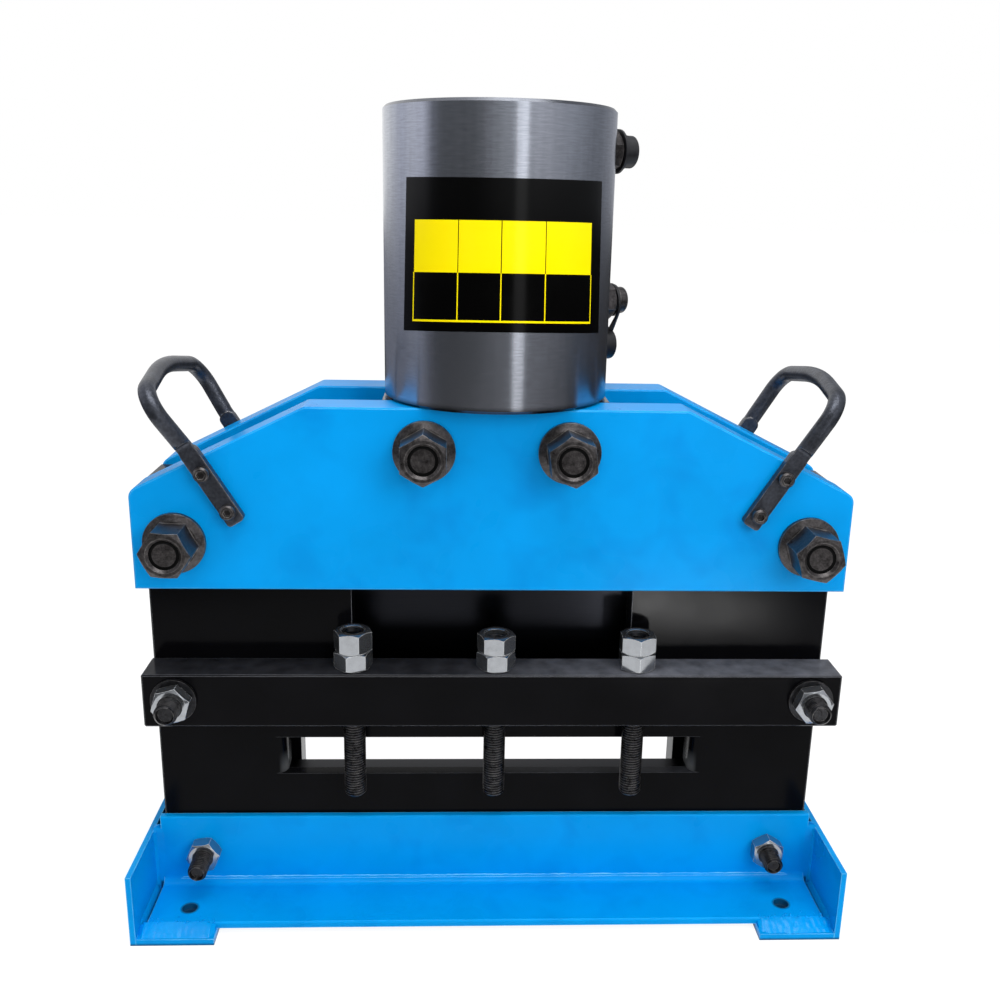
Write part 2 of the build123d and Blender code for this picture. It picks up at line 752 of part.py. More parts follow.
def rod_seal_span():
    high = head_top_z - rod_seal_cover
    return high - rod_seal_height, high


def rod_wiper_span():
    return barrel_bottom_z, barrel_bottom_z + rod_wiper_height


def coupler(z, turn):
    body = bar_z(port_thread_diameter, (port_face - port_depth, port_face))
    body += Pos(0, 0, port_face) * Rot(0, 0, turn) * hexagon(coupler_flats, coupler_hex_length)
    body += bar_z(coupler_groove_diameter, (coupler_groove, coupler_collar))
    body += bar_z(coupler_collar_diameter, (coupler_collar, coupler_nose))
    nose = bar_z(coupler_nose_diameter, (coupler_nose, coupler_end))
    body += fillet(nose.edges().sort_by(Axis.Z)[-1], coupler_nose_round)
    body -= bar_z(coupler_passage_diameter, (port_face - port_depth, coupler_nose))
    return port_plane(z) * body


def cap_radius():
    return coupler_nose_diameter / 2 + cap_clearance + cap_wall


def cap_height():
    return coupler_nose_length + cap_end_wall


def dust_cap():
    """A cap with its mouth on Z = 0 and its closed end up."""
    cap = fillet(bar_z(2 * cap_radius(), (0, cap_height())).edges().sort_by(Axis.Z)[-1], cap_round)
    cap += bar_z(2 * (cap_radius() + cap_rim_step), (0, cap_rim_width))
    return cap - bar_z(coupler_nose_diameter + 2 * cap_clearance, (0, coupler_nose_length))


def upper_dust_cap():
    return port_plane(upper_port_z) * Pos(0, 0, coupler_nose + cap_seat_gap) * dust_cap()


def strap_span():
    """Where a strap's ring sits along the coupler's groove."""
    slack = (coupler_groove_length - strap_thickness) / 2
    return coupler_groove + slack, coupler_groove + slack + strap_thickness


def upper_cap_ring():
    """The ring that the upper cap's strap is moulded to. It grips the coupler's groove."""
    outer = coupler_groove_diameter + 2 * cap_ring_wall
    return port_plane(upper_port_z) * ring_z(outer, coupler_groove_diameter, strap_span())


def drop_outline(radius, foot_drop, foot_radius):
    """A drop shape that hangs below the coupler: a large round and a small one with straight flanks."""
    loop = Pos(-strap_loop_drop, 0) * Circle(radius)
    foot = Pos(-foot_drop, 0) * Circle(foot_radius)
    return make_hull(loop.edges() + foot.edges())


def lower_cap_strap():
    low, high = strap_span()
    inner = coupler_groove_diameter / 2 + strap_hang_gap + strap_loop_drop
    outline = drop_outline(inner + strap_wall, strap_foot_drop, strap_foot_radius)
    outline -= drop_outline(inner, strap_slit_drop, strap_slit_radius)
    strap = extrude(Plane.XY.offset(low) * outline, high - low)
    strap -= bar_z(2 * cap_radius(), (low, high), -hanging_cap_drop)
    return port_plane(lower_port_z) * strap


def lower_dust_cap():
    """The hanging cap. The strap's foot is moulded to its side, and its mouth looks at the barrel."""
    closed_end = strap_span()[1] + hanging_cap_proud
    return port_plane(lower_port_z) * Pos(-hanging_cap_drop, 0, closed_end - cap_height()) * dust_cap()


# Ram
def piston():
    body = bar_z(bore_diameter - 2 * piston_clearance, (piston_bottom_z, piston_top_z))
    body = chamfer(body.edges().sort_by(Axis.Z)[0], piston_foot_chamfer)
    body -= piston_ring(piston_seal_rise, piston_seal_height)
    body -= piston_ring(piston_ring_rise, piston_ring_height)
    body -= bar_z(rod_spigot_diameter, (piston_bottom_z, piston_top_z))
    pocket = piston_nut_diameter + 2 * nut_pocket_clearance
    return body - bar_z(pocket, (piston_top_z - piston_nut_height, piston_top_z))


def piston_ring(rise, height):
    low = piston_bottom_z + rise
    outer = bore_diameter - 2 * ring_running_clearance
    return ring_z(outer, outer - 2 * ring_depth, (low, low + height))


def piston_nut():
    low = piston_top_z - piston_nut_height
    ring = ring_z(piston_nut_diameter, rod_spigot_diameter + 2 * thread_gap, (low, piston_top_z))
    radius = piston_nut_diameter / 2
    for quarter in range(4):
        slot = block((radius - piston_nut_slot_depth, radius + piston_nut_slot_depth),
                     (-piston_nut_slot / 2, piston_nut_slot / 2), (low, piston_top_z))
        ring -= Rot(0, 0, 90 * quarter) * slot
    return ring


def cross_pin_z():
    return (spigot_bottom_z + carrier_top_z) / 2


def cross_pin_span():
    return -carrier_y + cross_pin_end_cover, carrier_y - cross_pin_end_cover


def piston_rod():
    rod = bar_z(rod_diameter, (carrier_top_z, piston_bottom_z))
    rod += bar_z(rod_spigot_diameter, (spigot_bottom_z, carrier_top_z))
    rod += bar_z(rod_spigot_diameter, (piston_bottom_z, piston_top_z))
    return rod - bar_y(cross_pin_diameter, 0, cross_pin_z(), cross_pin_span())


def cross_pin():
    return bar_y(cross_pin_diameter, 0, cross_pin_z(), cross_pin_span())


def blade_screw_z():
    return carrier_bottom_z + tang_height / 2


def blade_carrier():
    carrier = block((-carrier_x, carrier_x), (-carrier_y, carrier_y), (carrier_bottom_z, carrier_top_z))
    carrier = chamfer(carrier.edges().filter_by(Axis.Z), plate_edge_chamfer)
    slot_x = tang_length / 2 + tang_clearance
    slot_y = blade_thickness / 2 + tang_clearance
    carrier -= block((-slot_x, slot_x), (-slot_y, slot_y), (carrier_bottom_z, tang_top_z))
    carrier -= bar_z(rod_spigot_diameter, (spigot_bottom_z, carrier_top_z))
    carrier -= bar_y(cross_pin_diameter, 0, cross_pin_z(), (-carrier_y, carrier_y))
    for x in blade_screw_places:
        carrier -= facing_front(x, 0, blade_screw_z()) * blade_screw_blank()
    return carrier


def blade_screw_blank():
    """A socket screw through the carrier, pointing to the front, with its head sunk below the face."""
    head_low = carrier_y - blade_screw_diameter - cross_pin_end_cover
    screw = bar_z(blade_screw_diameter, (-carrier_y + blade_screw_end_cover, head_low))
    return screw + bar_z(blade_screw_head_diameter, (head_low, carrier_y))


def upper_blade_screws():
    head_top = carrier_y - cross_pin_end_cover
    cut = bar_z(2 * blade_screw_head_diameter, (head_top, carrier_y))
    socket = extrude(Plane.XY.offset(head_top) * RegularPolygon(blade_screw_diameter / 2, 6), -blade_screw_diameter / 2)
    piece = blade_screw_blank() - cut - socket
    return group(facing_front(x, 0, blade_screw_z()) * piece for x in blade_screw_places)


def upper_blade():
    half = blade_length / 2
    tang = tang_length / 2
    outline = [(-half, blade_low_z), (0, blade_low_z + blade_rake), (half, blade_low_z), (half, carrier_bottom_z),
               (tang, carrier_bottom_z), (tang, tang_top_z), (-tang, tang_top_z), (-tang, carrier_bottom_z),
               (-half, carrier_bottom_z)]
    blade = extrude(Plane.XZ * Polygon(*outline, align=None), blade_thickness / 2, both=True)
    for x in blade_screw_places:
        blade -= bar_y(blade_screw_diameter, x, blade_screw_z(), (-blade_thickness, blade_thickness))
    return blade


nodes = {
    "base_front_angle": front_angle(),
    "base_rear_angle": mirror(front_angle(), Plane.XZ),
    "left_foot_plate": foot_plate(-1),
    "right_foot_plate": foot_plate(1),
    "left_end_plate": end_plate(-1),
    "right_end_plate": end_plate(1),
    "base_studs": base_studs(),
    "base_nuts": base_nuts(),
    "front_guide_plate": front_guide_plate(),
    "rear_guide_plate": rear_guide_plate(),
    "guide_spacer": guide_spacer(),
    "lower_blade": lower_blade(),
    "lower_blade_screws": lower_blade_screws(),
    "clamp_bar": clamp_bar(),
    "clamp_bar_studs": clamp_bar_studs(),
    "clamp_bar_washers": clamp_bar_washers(),
    "clamp_bar_nuts": clamp_bar_nuts(),
    "front_cheek_plate": front_cheek_plate(),
    "rear_cheek_plate": mirror(front_cheek_plate(), Plane.XZ),
    "frame_bolts": frame_bolt_set(),
    "frame_washers": frame_washers(),
    "collar_nuts": collar_nuts(),
    "left_handle": handle(-1),
    "right_handle": handle(1),
    "handle_screws": handle_screws(),
    "cylinder_barrel": cylinder_barrel(),
    "cylinder_head": cylinder_head(),
    "head_seal": head_seal_ring(),
    "rod_guide_bush": ring_z(bush_outer(), running_bore(), bush_span()),
    "rod_seal": ring_z(rod_diameter + 2 * rod_seal_wall, running_bore(), rod_seal_span()),
    "rod_wiper": ring_z(rod_diameter + 2 * rod_wiper_wall, running_bore(), rod_wiper_span()),
    "upper_coupler": coupler(upper_port_z, coupler_hex_turns[0]),
    "lower_coupler": coupler(lower_port_z, coupler_hex_turns[1]),
    "upper_cap_ring": upper_cap_ring(),
    "upper_dust_cap": upper_dust_cap(),
    "lower_cap_strap": lower_cap_strap(),
    "lower_dust_cap": lower_dust_cap(),
    "piston": piston(),
    "piston_seal": piston_ring(piston_seal_rise, piston_seal_height),
    "piston_guide_ring": piston_ring(piston_ring_rise, piston_ring_height),
    "piston_nut": piston_nut(),
    "piston_rod": piston_rod(),
    "blade_carrier": blade_carrier(),
    "cross_pin": cross_pin(),
    "upper_blade": upper_blade(),
    "upper_blade_screws": upper_blade_screws(),
}
for place, name in enumerate(("left", "centre", "right")):
    x = hold_down_x[place]
    heights = hold_down_nut_heights[place]
    nodes[f"hold_down_screw_{name}"] = hold_down_screw(x, heights, hold_down_sinks[place])
    nodes[f"hold_down_nuts_{name}"] = hold_down_nuts(x, heights, hold_down_nut_turns[place])

os.makedirs("parts", exist_ok=True)
for name, shape in nodes.items():
    export_step(shape, f"parts/{name}.step")
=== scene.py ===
import functools
import math
import random

import bmesh
import bpy
from mathutils import Matrix, Vector, noise


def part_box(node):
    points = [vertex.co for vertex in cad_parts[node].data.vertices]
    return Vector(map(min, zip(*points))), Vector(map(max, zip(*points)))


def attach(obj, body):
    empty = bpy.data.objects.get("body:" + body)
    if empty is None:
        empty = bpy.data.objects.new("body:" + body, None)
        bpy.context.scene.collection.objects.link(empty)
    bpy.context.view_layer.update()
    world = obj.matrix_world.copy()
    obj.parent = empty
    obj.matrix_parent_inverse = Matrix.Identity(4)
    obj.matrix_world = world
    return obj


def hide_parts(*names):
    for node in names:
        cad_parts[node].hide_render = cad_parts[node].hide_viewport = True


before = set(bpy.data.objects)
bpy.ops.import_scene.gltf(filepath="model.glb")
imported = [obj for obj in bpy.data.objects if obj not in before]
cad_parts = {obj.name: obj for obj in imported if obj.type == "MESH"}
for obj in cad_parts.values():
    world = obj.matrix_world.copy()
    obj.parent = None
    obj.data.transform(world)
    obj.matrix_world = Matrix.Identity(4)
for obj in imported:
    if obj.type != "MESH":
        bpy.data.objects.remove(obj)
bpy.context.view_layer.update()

bl_info = {
    "name": "Busbar cutting machine",
    "version": (1, 0, 0),
    "blender": (4, 5, 0),
    "location": "View3D > Sidebar > Busbar Cutter",
    "description": "Dresses the hydraulic busbar shear: paint, steel, threads, welds, label and studio",
    "category": "Object",
}

MM = 0.001


def linear(hex_code):
    """A colour written as sRGB hex, in linear light."""
    channels = [int(hex_code[i:i + 2], 16) / 255 for i in (1, 3, 5)]
    return [c / 12.92 if c <= 0.04045 else ((c + 0.055) / 1.055) ** 2.4 for c in channels]


def rgba(colour):
    return (*colour[:3], 1.0)


def per_mm(size):
    """The texture scale at which one feature is this many millimetres wide."""
    return 1 / (size * MM)


# Settings that a user would change
def colour_prop(name, hex_code, description):
    return bpy.props.FloatVectorProperty(
        name=name, description=description, subtype="COLOR", size=3, min=0, max=1, default=linear(hex_code))


def length_prop(name, size, description, least=0.0):
    """A length, given in millimetres."""
    return bpy.props.FloatProperty(
        name=name, description=description, unit="LENGTH", min=least * MM, default=size * MM)


def angle_prop(name, angle, description):
    return bpy.props.FloatProperty(name=name, description=description, subtype="ANGLE", default=angle)


class PaintSettings(bpy.types.PropertyGroup):
    blue: colour_prop("Blue enamel", "#0098E6", "Colour of the painted frame and base")
    blue_deep: colour_prop("Blue in smears", "#0074C8", "Colour where the enamel lies thick")
    # Pale blue on edges: thin enamel, and also a painted highlight along them
    blue_worn_and_highlight: colour_prop("Blue on edges", "#8ADFFF", "Colour where the enamel is thin on an edge")
    black: colour_prop("Black enamel", "#070709", "Colour of the painted guide plates and clamp bar")
    black_worn: colour_prop("Black on edges", "#8E9096", "Colour where the black enamel is rubbed through")
    # Dust on top faces; it is painted thicker towards the right, a painted light from that side
    dust: colour_prop("Dust", "#6E7078", "Colour of the dust that lies on black surfaces that face up")
    # A dark blue painted as shade into holes, grooves and along the floor
    painted_shade_colour: colour_prop("Grime", "#06243E", "Colour of the dirt in holes and grooves and along the floor")
    # Bare steel on the slot's end walls, painted on their lower half as a painted highlight
    bare_steel_and_highlight: colour_prop("Bare steel", "#85888B", "Colour where the black is worn off the slot's ends")
    edge_width: length_prop("Edge wear width", 1.1, "How far wear reaches from an edge")


class SteelSettings(bpy.types.PropertyGroup):
    barrel: colour_prop("Turned steel", "#B4B8C2", "Reflection colour of the cylinder barrel")
    oxide: colour_prop("Black oxide", "#4C4949", "Colour of blackened bolts, nuts and couplers")
    # Rubbed edges, which are also painted highlights on chamfers and thread crests
    rubbed: colour_prop("Rubbed edges", "#B5B1AE", "Colour of blackened steel where an edge is rubbed bright")
    thread: colour_prop("Thread", "#2A2A2C", "Colour of the oiled threads and washers")
    zinc: colour_prop("Bright zinc", "#A4A7AB", "Reflection colour of the plated nuts")
    handle: colour_prop("Handle coating", "#44474F", "Colour of the handles' satin black coat")
    grease_inner: length_prop("Grease inside", 7.9, "Inner radius of the grease around a bolt's end")
    grease_outer: length_prop("Grease outside", 10.6, "Outer radius of the grease around a bolt's end")
    turning_pitch: length_prop("Turning pitch", 1.0, "Spacing of the lathe marks on the barrel", 0.1)


class ThreadSettings(bpy.types.PropertyGroup):
    pitch: length_prop("Thread pitch", 2.0, "Rise of one turn of the studs' thread", 0.5)
    depth: length_prop("Thread depth", 1.1, "Depth of the studs' thread")
    tip_chamfer: length_prop("Tip chamfer", 1.6, "Length of the taper at a stud's ends")
    end_rim: length_prop("End rim", 1.3, "Width of the rim around the hollow in a stud's end")
    end_hollow: length_prop("End hollow", 2.5, "Depth of the hollow in a stud's end")
    segments: bpy.props.IntProperty(
        name="Segments", description="Flat steps in one turn of the thread", min=12, default=36)


class LabelSettings(bpy.types.PropertyGroup):
    ground: colour_prop("Label black", "#030303", "Colour of the label's film")
    band: colour_prop("Label yellow", "#FFE800", "Colour of the label's printed table")
    left: angle_prop("Left edge", math.radians(-50.3), "Angle from the front to its top left corner")
    right: angle_prop("Right edge", math.radians(55.3), "Angle from the front to its top right corner")
    bottom: length_prop("Bottom edge", 434, "Height of the label's lower corners")
    top: length_prop("Top edge", 530.3, "Height of the label's top edge")
    spread: bpy.props.FloatProperty(
        name="Spread", description="Share by which the label is wider at its bottom", default=0.037)
    bow: length_prop("Bow", 3.7, "Rise of the bottom edge between its corners")
    film: length_prop("Film thickness", 0.15, "Thickness of the label's film")


class WeldSettings(bpy.types.PropertyGroup):
    toe: length_prop("Toe weld", 10.5, "Width of the weld in front of an angle's leg")
    corner: length_prop("Corner weld", 2, "How far the upright weld on an end plate reaches onto the angle")
    lump: length_prop("Lump size", 3.4, "Spacing of the lumps in a bead", 0.5)
    ridge_height: length_prop("Ridge height", 3.4, "Height above the leg of the ridge in an angle's root")
    spatter: bpy.props.IntProperty(
        name="Spatter", description="Drops of spatter along each toe weld", min=0, default=34)


class StageSettings(bpy.types.PropertyGroup):
    camera_place: bpy.props.FloatVectorProperty(
        name="Camera place", description="Where the photograph was taken from",
        subtype="TRANSLATION", unit="LENGTH", size=3, default=(-0.0274, -0.7421, 0.5137))
    camera_yaw: angle_prop("Yaw", -0.04367, "Camera's turn about Z")
    camera_pitch: angle_prop("Pitch", -0.27121, "Camera's tilt, negative looking down")
    camera_roll: angle_prop("Roll", -0.02001, "Camera's roll about its own line of sight")
    lens: bpy.props.FloatProperty(
        name="Lens", description="Focal length on a 36 mm wide sensor",
        subtype="DISTANCE_CAMERA", default=38.01)
    floor: colour_prop("Floor", "#CDCDCD", "Colour of the pale floor")
    dark_floor: colour_prop("Dark floor", "#38383A", "Colour of the floor that metal mirrors further out")
    soft_light: bpy.props.FloatProperty(
        name="Soft light", description="Strength of the light from all around", min=0, default=0.62)


# What metal mirrors around the machine: degrees from straight behind, positive to the right, and the light
SURROUNDINGS = (
    (-180, "#B4B6B8"), (-170, "#98999C"), (-158, "#727476"), (-150, "#6A6C6E"), (-120, "#6E7072"),
    (-110, "#90929A"), (-100, "#F4F5FF"), (-84, "#F8F9FF"), (-68, "#DEE0EA"), (-45, "#FFFFFF"),
    (0, "#FFFFFF"), (20, "#B0B2B8"), (45, "#A6A8AE"), (69, "#92959B"), (88, "#A0A3A9"), (104, "#B8BBC1"),
    (119, "#CCCED4"), (133, "#DCDDE2"), (144, "#E6E7EC"), (160, "#C8CACE"), (180, "#B4B6B8"),
)
# Settings that many nodes share
BLEND = {"data_type": "RGBA"}
SOFT = {"interpolation_type": "SMOOTHSTEP"}
# A blend's colour inputs, for where its factor is 0 and where it is 1
UNDER, OVER = 6, 7
# Edges that are bent more than this are shaded sharp
SHARP_BEND = math.radians(35)


# Nodes
def add_node(tree, kind, settings=None, inputs=None):
    """Adds a node with its settings, or its operation, and sets its inputs or links them to other nodes.

    Inputs are given by name, or in the node's own order. For MapRange that is the value, the two ends of the
    range that it comes from, and the two ends of the range that it goes to.
    """
    node = tree.nodes.new("ShaderNode" + kind)
    if isinstance(settings, str):
        settings = {"operation": settings}
    for name, value in (settings or {}).items():
        setattr(node, name, value)
    pairs = inputs.items() if isinstance(inputs, dict) else enumerate(inputs or ())
    for name, value in pairs:
        if isinstance(value, bpy.types.Node):
            value = next(socket for socket in value.outputs if socket.enabled)
        if isinstance(value, bpy.types.NodeSocket):
            tree.links.new(value, node.inputs[name])
        else:
            node.inputs[name].default_value = value
    return node


def new_material(name):
    """An empty material, what adds a node to it, and the place on the object that its patterns follow."""
    material = bpy.data.materials.new(name)
    material.use_nodes = True
    material.node_tree.nodes.clear()
    add = functools.partial(add_node, material.node_tree)
    return material, add, add("TexCoord").outputs["Object"]


def finish_material(material, inputs):
    """Closes a material with one surface shader."""
    shader = add_node(material.node_tree, "BsdfPrincipled", inputs=inputs)
    add_node(material.node_tree, "OutputMaterial", inputs={"Surface": shader})
    return material


def edge_mask(add, width, place, break_up, least=0.3):
    """How near a point is to a sharp edge, in patches of a given width in mm, so that wear and painted edge
    highlights come and go.
    """
    bevel = add("Bevel", {"samples": 6}, {"Radius": width})
    face = add("NewGeometry")
    facing = add("VectorMath", "DOT_PRODUCT", (bevel, face.outputs["Normal"]))
    near = add("MapRange", inputs=(facing, 0.985, 0.8, 0.0, 1.0))
    patches = add("TexNoise", inputs={"Vector": place, "Scale": per_mm(break_up), "Detail": 4.0})
    worn = add("MapRange", inputs=(patches, 0.35, 0.65, least, 1.0))
    return add("Math", "MULTIPLY", (near, worn))


def blue_enamel(paint, name, edge_share, smooth, shine):
    """Brushed alkyd enamel on steel: a glossy even blue with a little orange peel, thin on plates' edges,
    with painted highlights along edges and painted shade in holes, grooves and along the floor.
    """
    material, add, place = new_material(name)
    # Cloudy patches about 60 mm wide, where the coat is thicker or thinner
    cloud = add("TexNoise", inputs={"Vector": place, "Scale": per_mm(60), "Detail": 3.0})
    shade = add("MapRange", inputs=(cloud, 0.3, 0.7, 0.94, 1.05))
    body = add("VectorMath", "SCALE", {0: paint.blue, "Scale": shade})
    # Smears about 34 mm wide, where the brush left the coat thick and deep
    smear = add("TexNoise", inputs={"Vector": place, "Scale": per_mm(34), "Detail": 2.0, "Distortion": 0.3})
    thick = add("MapRange", inputs=(smear, 0.5, 0.75, 0.0, 0.3))
    deep = add("Mix", BLEND, {"Factor": thick, UNDER: body, OVER: rgba(paint.blue_deep)})
    # Painted shade on the walls of the four floor bolts' holes
    mirrored = add("VectorMath", "ABSOLUTE", (place,))
    level = add("VectorMath", "MULTIPLY", (mirrored, (1.0, 1.0, 0.0)))
    off_axis = add("VectorMath", "DISTANCE", (level, (221 * MM, 63.5 * MM, 0.0)))
    hole_shade = add("MapRange", inputs=(off_axis, 7.5 * MM, 5.3 * MM, 0.0, 0.9))
    # Painted shade in the groove between an angle's end and the end plate
    corner = add("SeparateXYZ", inputs={"Vector": mirrored})
    off_groove = add("Math", "SUBTRACT", (corner.outputs["X"], 248.7 * MM))
    beside = add("Math", "ABSOLUTE", (off_groove,))
    groove_gap_shade = add("MapRange", inputs=(beside, 2.0 * MM, 1.0 * MM, 0.0, 0.7))
    behind_toe = add("MapRange", inputs=(corner.outputs["Y"], 76 * MM, 70 * MM))
    groove = add("Math", "MULTIPLY", (groove_gap_shade, behind_toe))
    either = add("Math", "MAXIMUM", (hole_shade, groove))
    low = add("MapRange", inputs=(corner.outputs["Z"], 12.5 * MM, 10.2 * MM))
    base_shade = add("Math", "MULTIPLY", (either, low))
    # Painted shade along the floor, where the base stands on it
    floor_line_shade = add("MapRange", inputs=(corner.outputs["Z"], 2.4 * MM, 0.4 * MM, 0.0, 0.8))
    painted_shade = add("Math", "MAXIMUM", (base_shade, floor_line_shade))
    # Pale blue edges: thin enamel, and in part a painted highlight along the edges
    worn = edge_mask(add, paint.edge_width, place, break_up=14)
    edge = add("Math", "MULTIPLY", (worn, edge_share))
    pale = add("Mix", BLEND, {"Factor": edge, UNDER: deep, OVER: rgba(paint.blue_worn_and_highlight)})
    # The painted shade darkens holes, grooves and the foot of the base
    colour = add("Mix", BLEND, {"Factor": painted_shade, UNDER: pale, OVER: rgba(paint.painted_shade_colour)})
    # Orange peel, 2.5 mm from bump to bump
    peel = add("TexNoise", inputs={"Vector": place, "Scale": per_mm(2.5), "Detail": 2.0})
    bump = add("Bump", inputs={"Strength": 0.35, "Distance": 0.06 * MM, "Height": peel})
    gloss = add("MapRange", inputs=(cloud, 0.3, 0.7, smooth, smooth + 0.1))
    return finish_material(material, {
        "Base Color": colour, "Roughness": gloss, "Normal": bump, "Specular IOR Level": shine})


def black_enamel(paint):
    """Semi-gloss black enamel on machined plate: deep black with a fine grain, grey dust painted paler to the
    right, rubbed edges, and a painted highlight of bare steel low on the slot's end walls.
    """
    material, add, place = new_material("semi_gloss_black_enamel")
    spot = add("SeparateXYZ", inputs={"Vector": place})
    outward = add("Math", "ABSOLUTE", (spot.outputs["X"],))
    inside = add("MapRange", inputs=(outward, 172 * MM, 168 * MM))
    under = add("MapRange", inputs=(spot.outputs["Z"], 134 * MM, 131 * MM))
    # In the slot, dust and pale edges are cut to a quarter, so that the slot stays darker
    slot = add("Math", "MULTIPLY", (inside, under))
    outside_slot = add("MapRange", inputs=(slot, 0.0, 1.0, 1.0, 0.25))
    edges = edge_mask(add, 0.9 * paint.edge_width, place, break_up=22, least=0.7)
    worn = add("Math", "MULTIPLY", (edges, outside_slot))
    # Cloudy patches about 45 mm wide
    cloud = add("TexNoise", inputs={"Vector": place, "Scale": per_mm(45), "Detail": 5.0})
    shade = add("MapRange", inputs=(cloud, 0.3, 0.7, 0.75, 1.35))
    body = add("VectorMath", "SCALE", {0: paint.black, "Scale": shade})
    face = add("NewGeometry")
    facing = add("SeparateXYZ", inputs={"Vector": face.outputs["Normal"]})
    # Dust lies on what faces up, in drifts about 12 mm wide
    drift = add("TexNoise", inputs={"Vector": place, "Scale": per_mm(12), "Detail": 6.0})
    thick = add("MapRange", inputs=(drift, 0.3, 0.7, 0.45, 0.95))
    upward = add("MapRange", inputs=(facing.outputs["Z"], 0.55, 0.9))
    flat = add("Math", "MULTIPLY", (thick, upward))
    # It is painted thicker to the right of the middle, a painted light falling from the right
    right = add("MapRange", SOFT, (spot.outputs["X"], -60 * MM, 130 * MM, 0.15, 1.05))
    uneven = add("Math", "MULTIPLY", (flat, right))
    dust_and_painted_light = add("Math", "MULTIPLY", (uneven, outside_slot))
    top = add("Mix", BLEND, {"Factor": dust_and_painted_light, UNDER: body, OVER: rgba(paint.dust)})
    colour = add("Mix", BLEND, {"Factor": worn, UNDER: top, OVER: rgba(paint.black_worn)})
    # Bars that were pushed through have rubbed the slot's end walls down to the steel; this is painted on
    # their lower half only, a painted highlight where the light falls
    sideways = add("Math", "ABSOLUTE", (facing.outputs["X"],))
    end_wall = add("MapRange", inputs=(sideways, 0.35, 0.9, 0.0, 0.45))
    lower = add("MapRange", inputs=(spot.outputs["Z"], 117 * MM, 104 * MM))
    worn_and_lit_low_wall = add("Math", "MULTIPLY", (end_wall, lower))
    rubbed = add("Math", "MULTIPLY", (worn_and_lit_low_wall, inside))
    finish = add("Mix", BLEND, {"Factor": rubbed, UNDER: colour, OVER: rgba(paint.bare_steel_and_highlight)})
    gloss = add("MapRange", inputs=(cloud, 0.3, 0.7, 0.12, 0.19))
    # Fine paint grain, 1.2 mm
    grain = add("TexNoise", inputs={"Vector": place, "Scale": per_mm(1.2), "Detail": 2.0})
    bump = add("Bump", inputs={"Strength": 0.3, "Distance": 0.05 * MM, "Height": grain})
    return finish_material(material, {
        "Base Color": finish, "Roughness": gloss, "Normal": bump, "Specular IOR Level": 0.05})


def handle_coat(steel):
    """Satin black baked coat on bent bar: a dark grey sheen over small pits, with edges rubbed bright that
    are partly painted highlights.
    """
    material, add, place = new_material("satin_black_baked_coat")
    # Pits of the hot-rolled bar, 2 mm apart
    pits = add("TexNoise", inputs={"Vector": place, "Scale": per_mm(2), "Detail": 5.0})
    round_bar = add("Bevel", {"samples": 8}, {"Radius": 2.5 * MM})
    bump = add("Bump", inputs={"Strength": 0.9, "Distance": 0.3 * MM, "Height": pits, "Normal": round_bar})
    # Hands have rubbed it in patches about 9 mm wide
    rub = add("TexNoise", inputs={"Vector": place, "Scale": per_mm(9), "Detail": 6.0})
    shade = add("MapRange", inputs=(rub, 0.3, 0.7, 0.7, 1.25))
    fleck = add("MapRange", inputs=(pits, 0.35, 0.65, 0.8, 1.2))
    tone = add("Math", "MULTIPLY", (shade, fleck))
    body = add("VectorMath", "SCALE", {0: steel.handle, "Scale": tone})
    # Pale edges, partly rubbed coat and partly a painted highlight, are less metallic so that they stay pale
    worn = edge_mask(add, 0.8 * MM, place, break_up=2.5)
    edge = add("Math", "MULTIPLY", (worn, 0.8))
    colour = add("Mix", BLEND, {"Factor": edge, UNDER: body, OVER: rgba(steel.rubbed)})
    metal = add("MapRange", inputs=(edge, 0.0, 1.0, 0.7, 0.2))
    return finish_material(material, {
        "Base Color": colour, "Metallic": metal, "Roughness": 0.34, "Normal": bump})


def blackened_steel(name, colour, rubbed, edge_width, edge_share, smooth):
    """Hot-blackened steel: dark and mottled, with a dull gloss of oil, and edges rubbed bright that are
    partly painted highlights.
    """
    material, add, place = new_material(name)
    # Patches about 4 mm wide, with mottling inside them
    patch = add("TexNoise", inputs={"Vector": place, "Scale": per_mm(4), "Detail": 6.0, "Roughness": 0.65})
    shade = add("MapRange", inputs=(patch, 0.3, 0.7, 0.5, 1.5))
    # Speckles about 1.2 mm wide
    speck = add("TexNoise", inputs={"Vector": place, "Scale": per_mm(1.2), "Detail": 3.0})
    fleck = add("MapRange", inputs=(speck, 0.35, 0.68, 0.78, 1.35))
    tone = add("Math", "MULTIPLY", (shade, fleck))
    body = add("VectorMath", "SCALE", {0: colour, "Scale": tone})
    # Edges painted pale: rubbed steel, and painted highlights on chamfers and thread crests
    worn = edge_mask(add, edge_width, place, break_up=4)
    edge = add("Math", "MULTIPLY", (worn, edge_share))
    finish = add("Mix", BLEND, {"Factor": edge, UNDER: body, OVER: rgba(rubbed)})
    gloss = add("MapRange", inputs=(patch, 0.3, 0.7, smooth, smooth + 0.18))
    round_edge = add("Bevel", {"samples": 4}, {"Radius": edge_width})
    # Grain of 0.8 mm under rounded edges
    grain = add("TexNoise", inputs={"Vector": place, "Scale": per_mm(0.8), "Detail": 2.0})
    bump = add("Bump", inputs={
        "Strength": 0.25, "Distance": 0.04 * MM, "Height": grain, "Normal": round_edge})
    # Pale edges, partly rubbed steel and partly a painted highlight, scatter the light, so they stay pale
    metal = add("MapRange", inputs=(edge, 0.0, 1.0, 0.85, 0.3))
    return finish_material(material, {
        "Base Color": finish, "Metallic": metal, "Roughness": gloss, "Normal": bump})


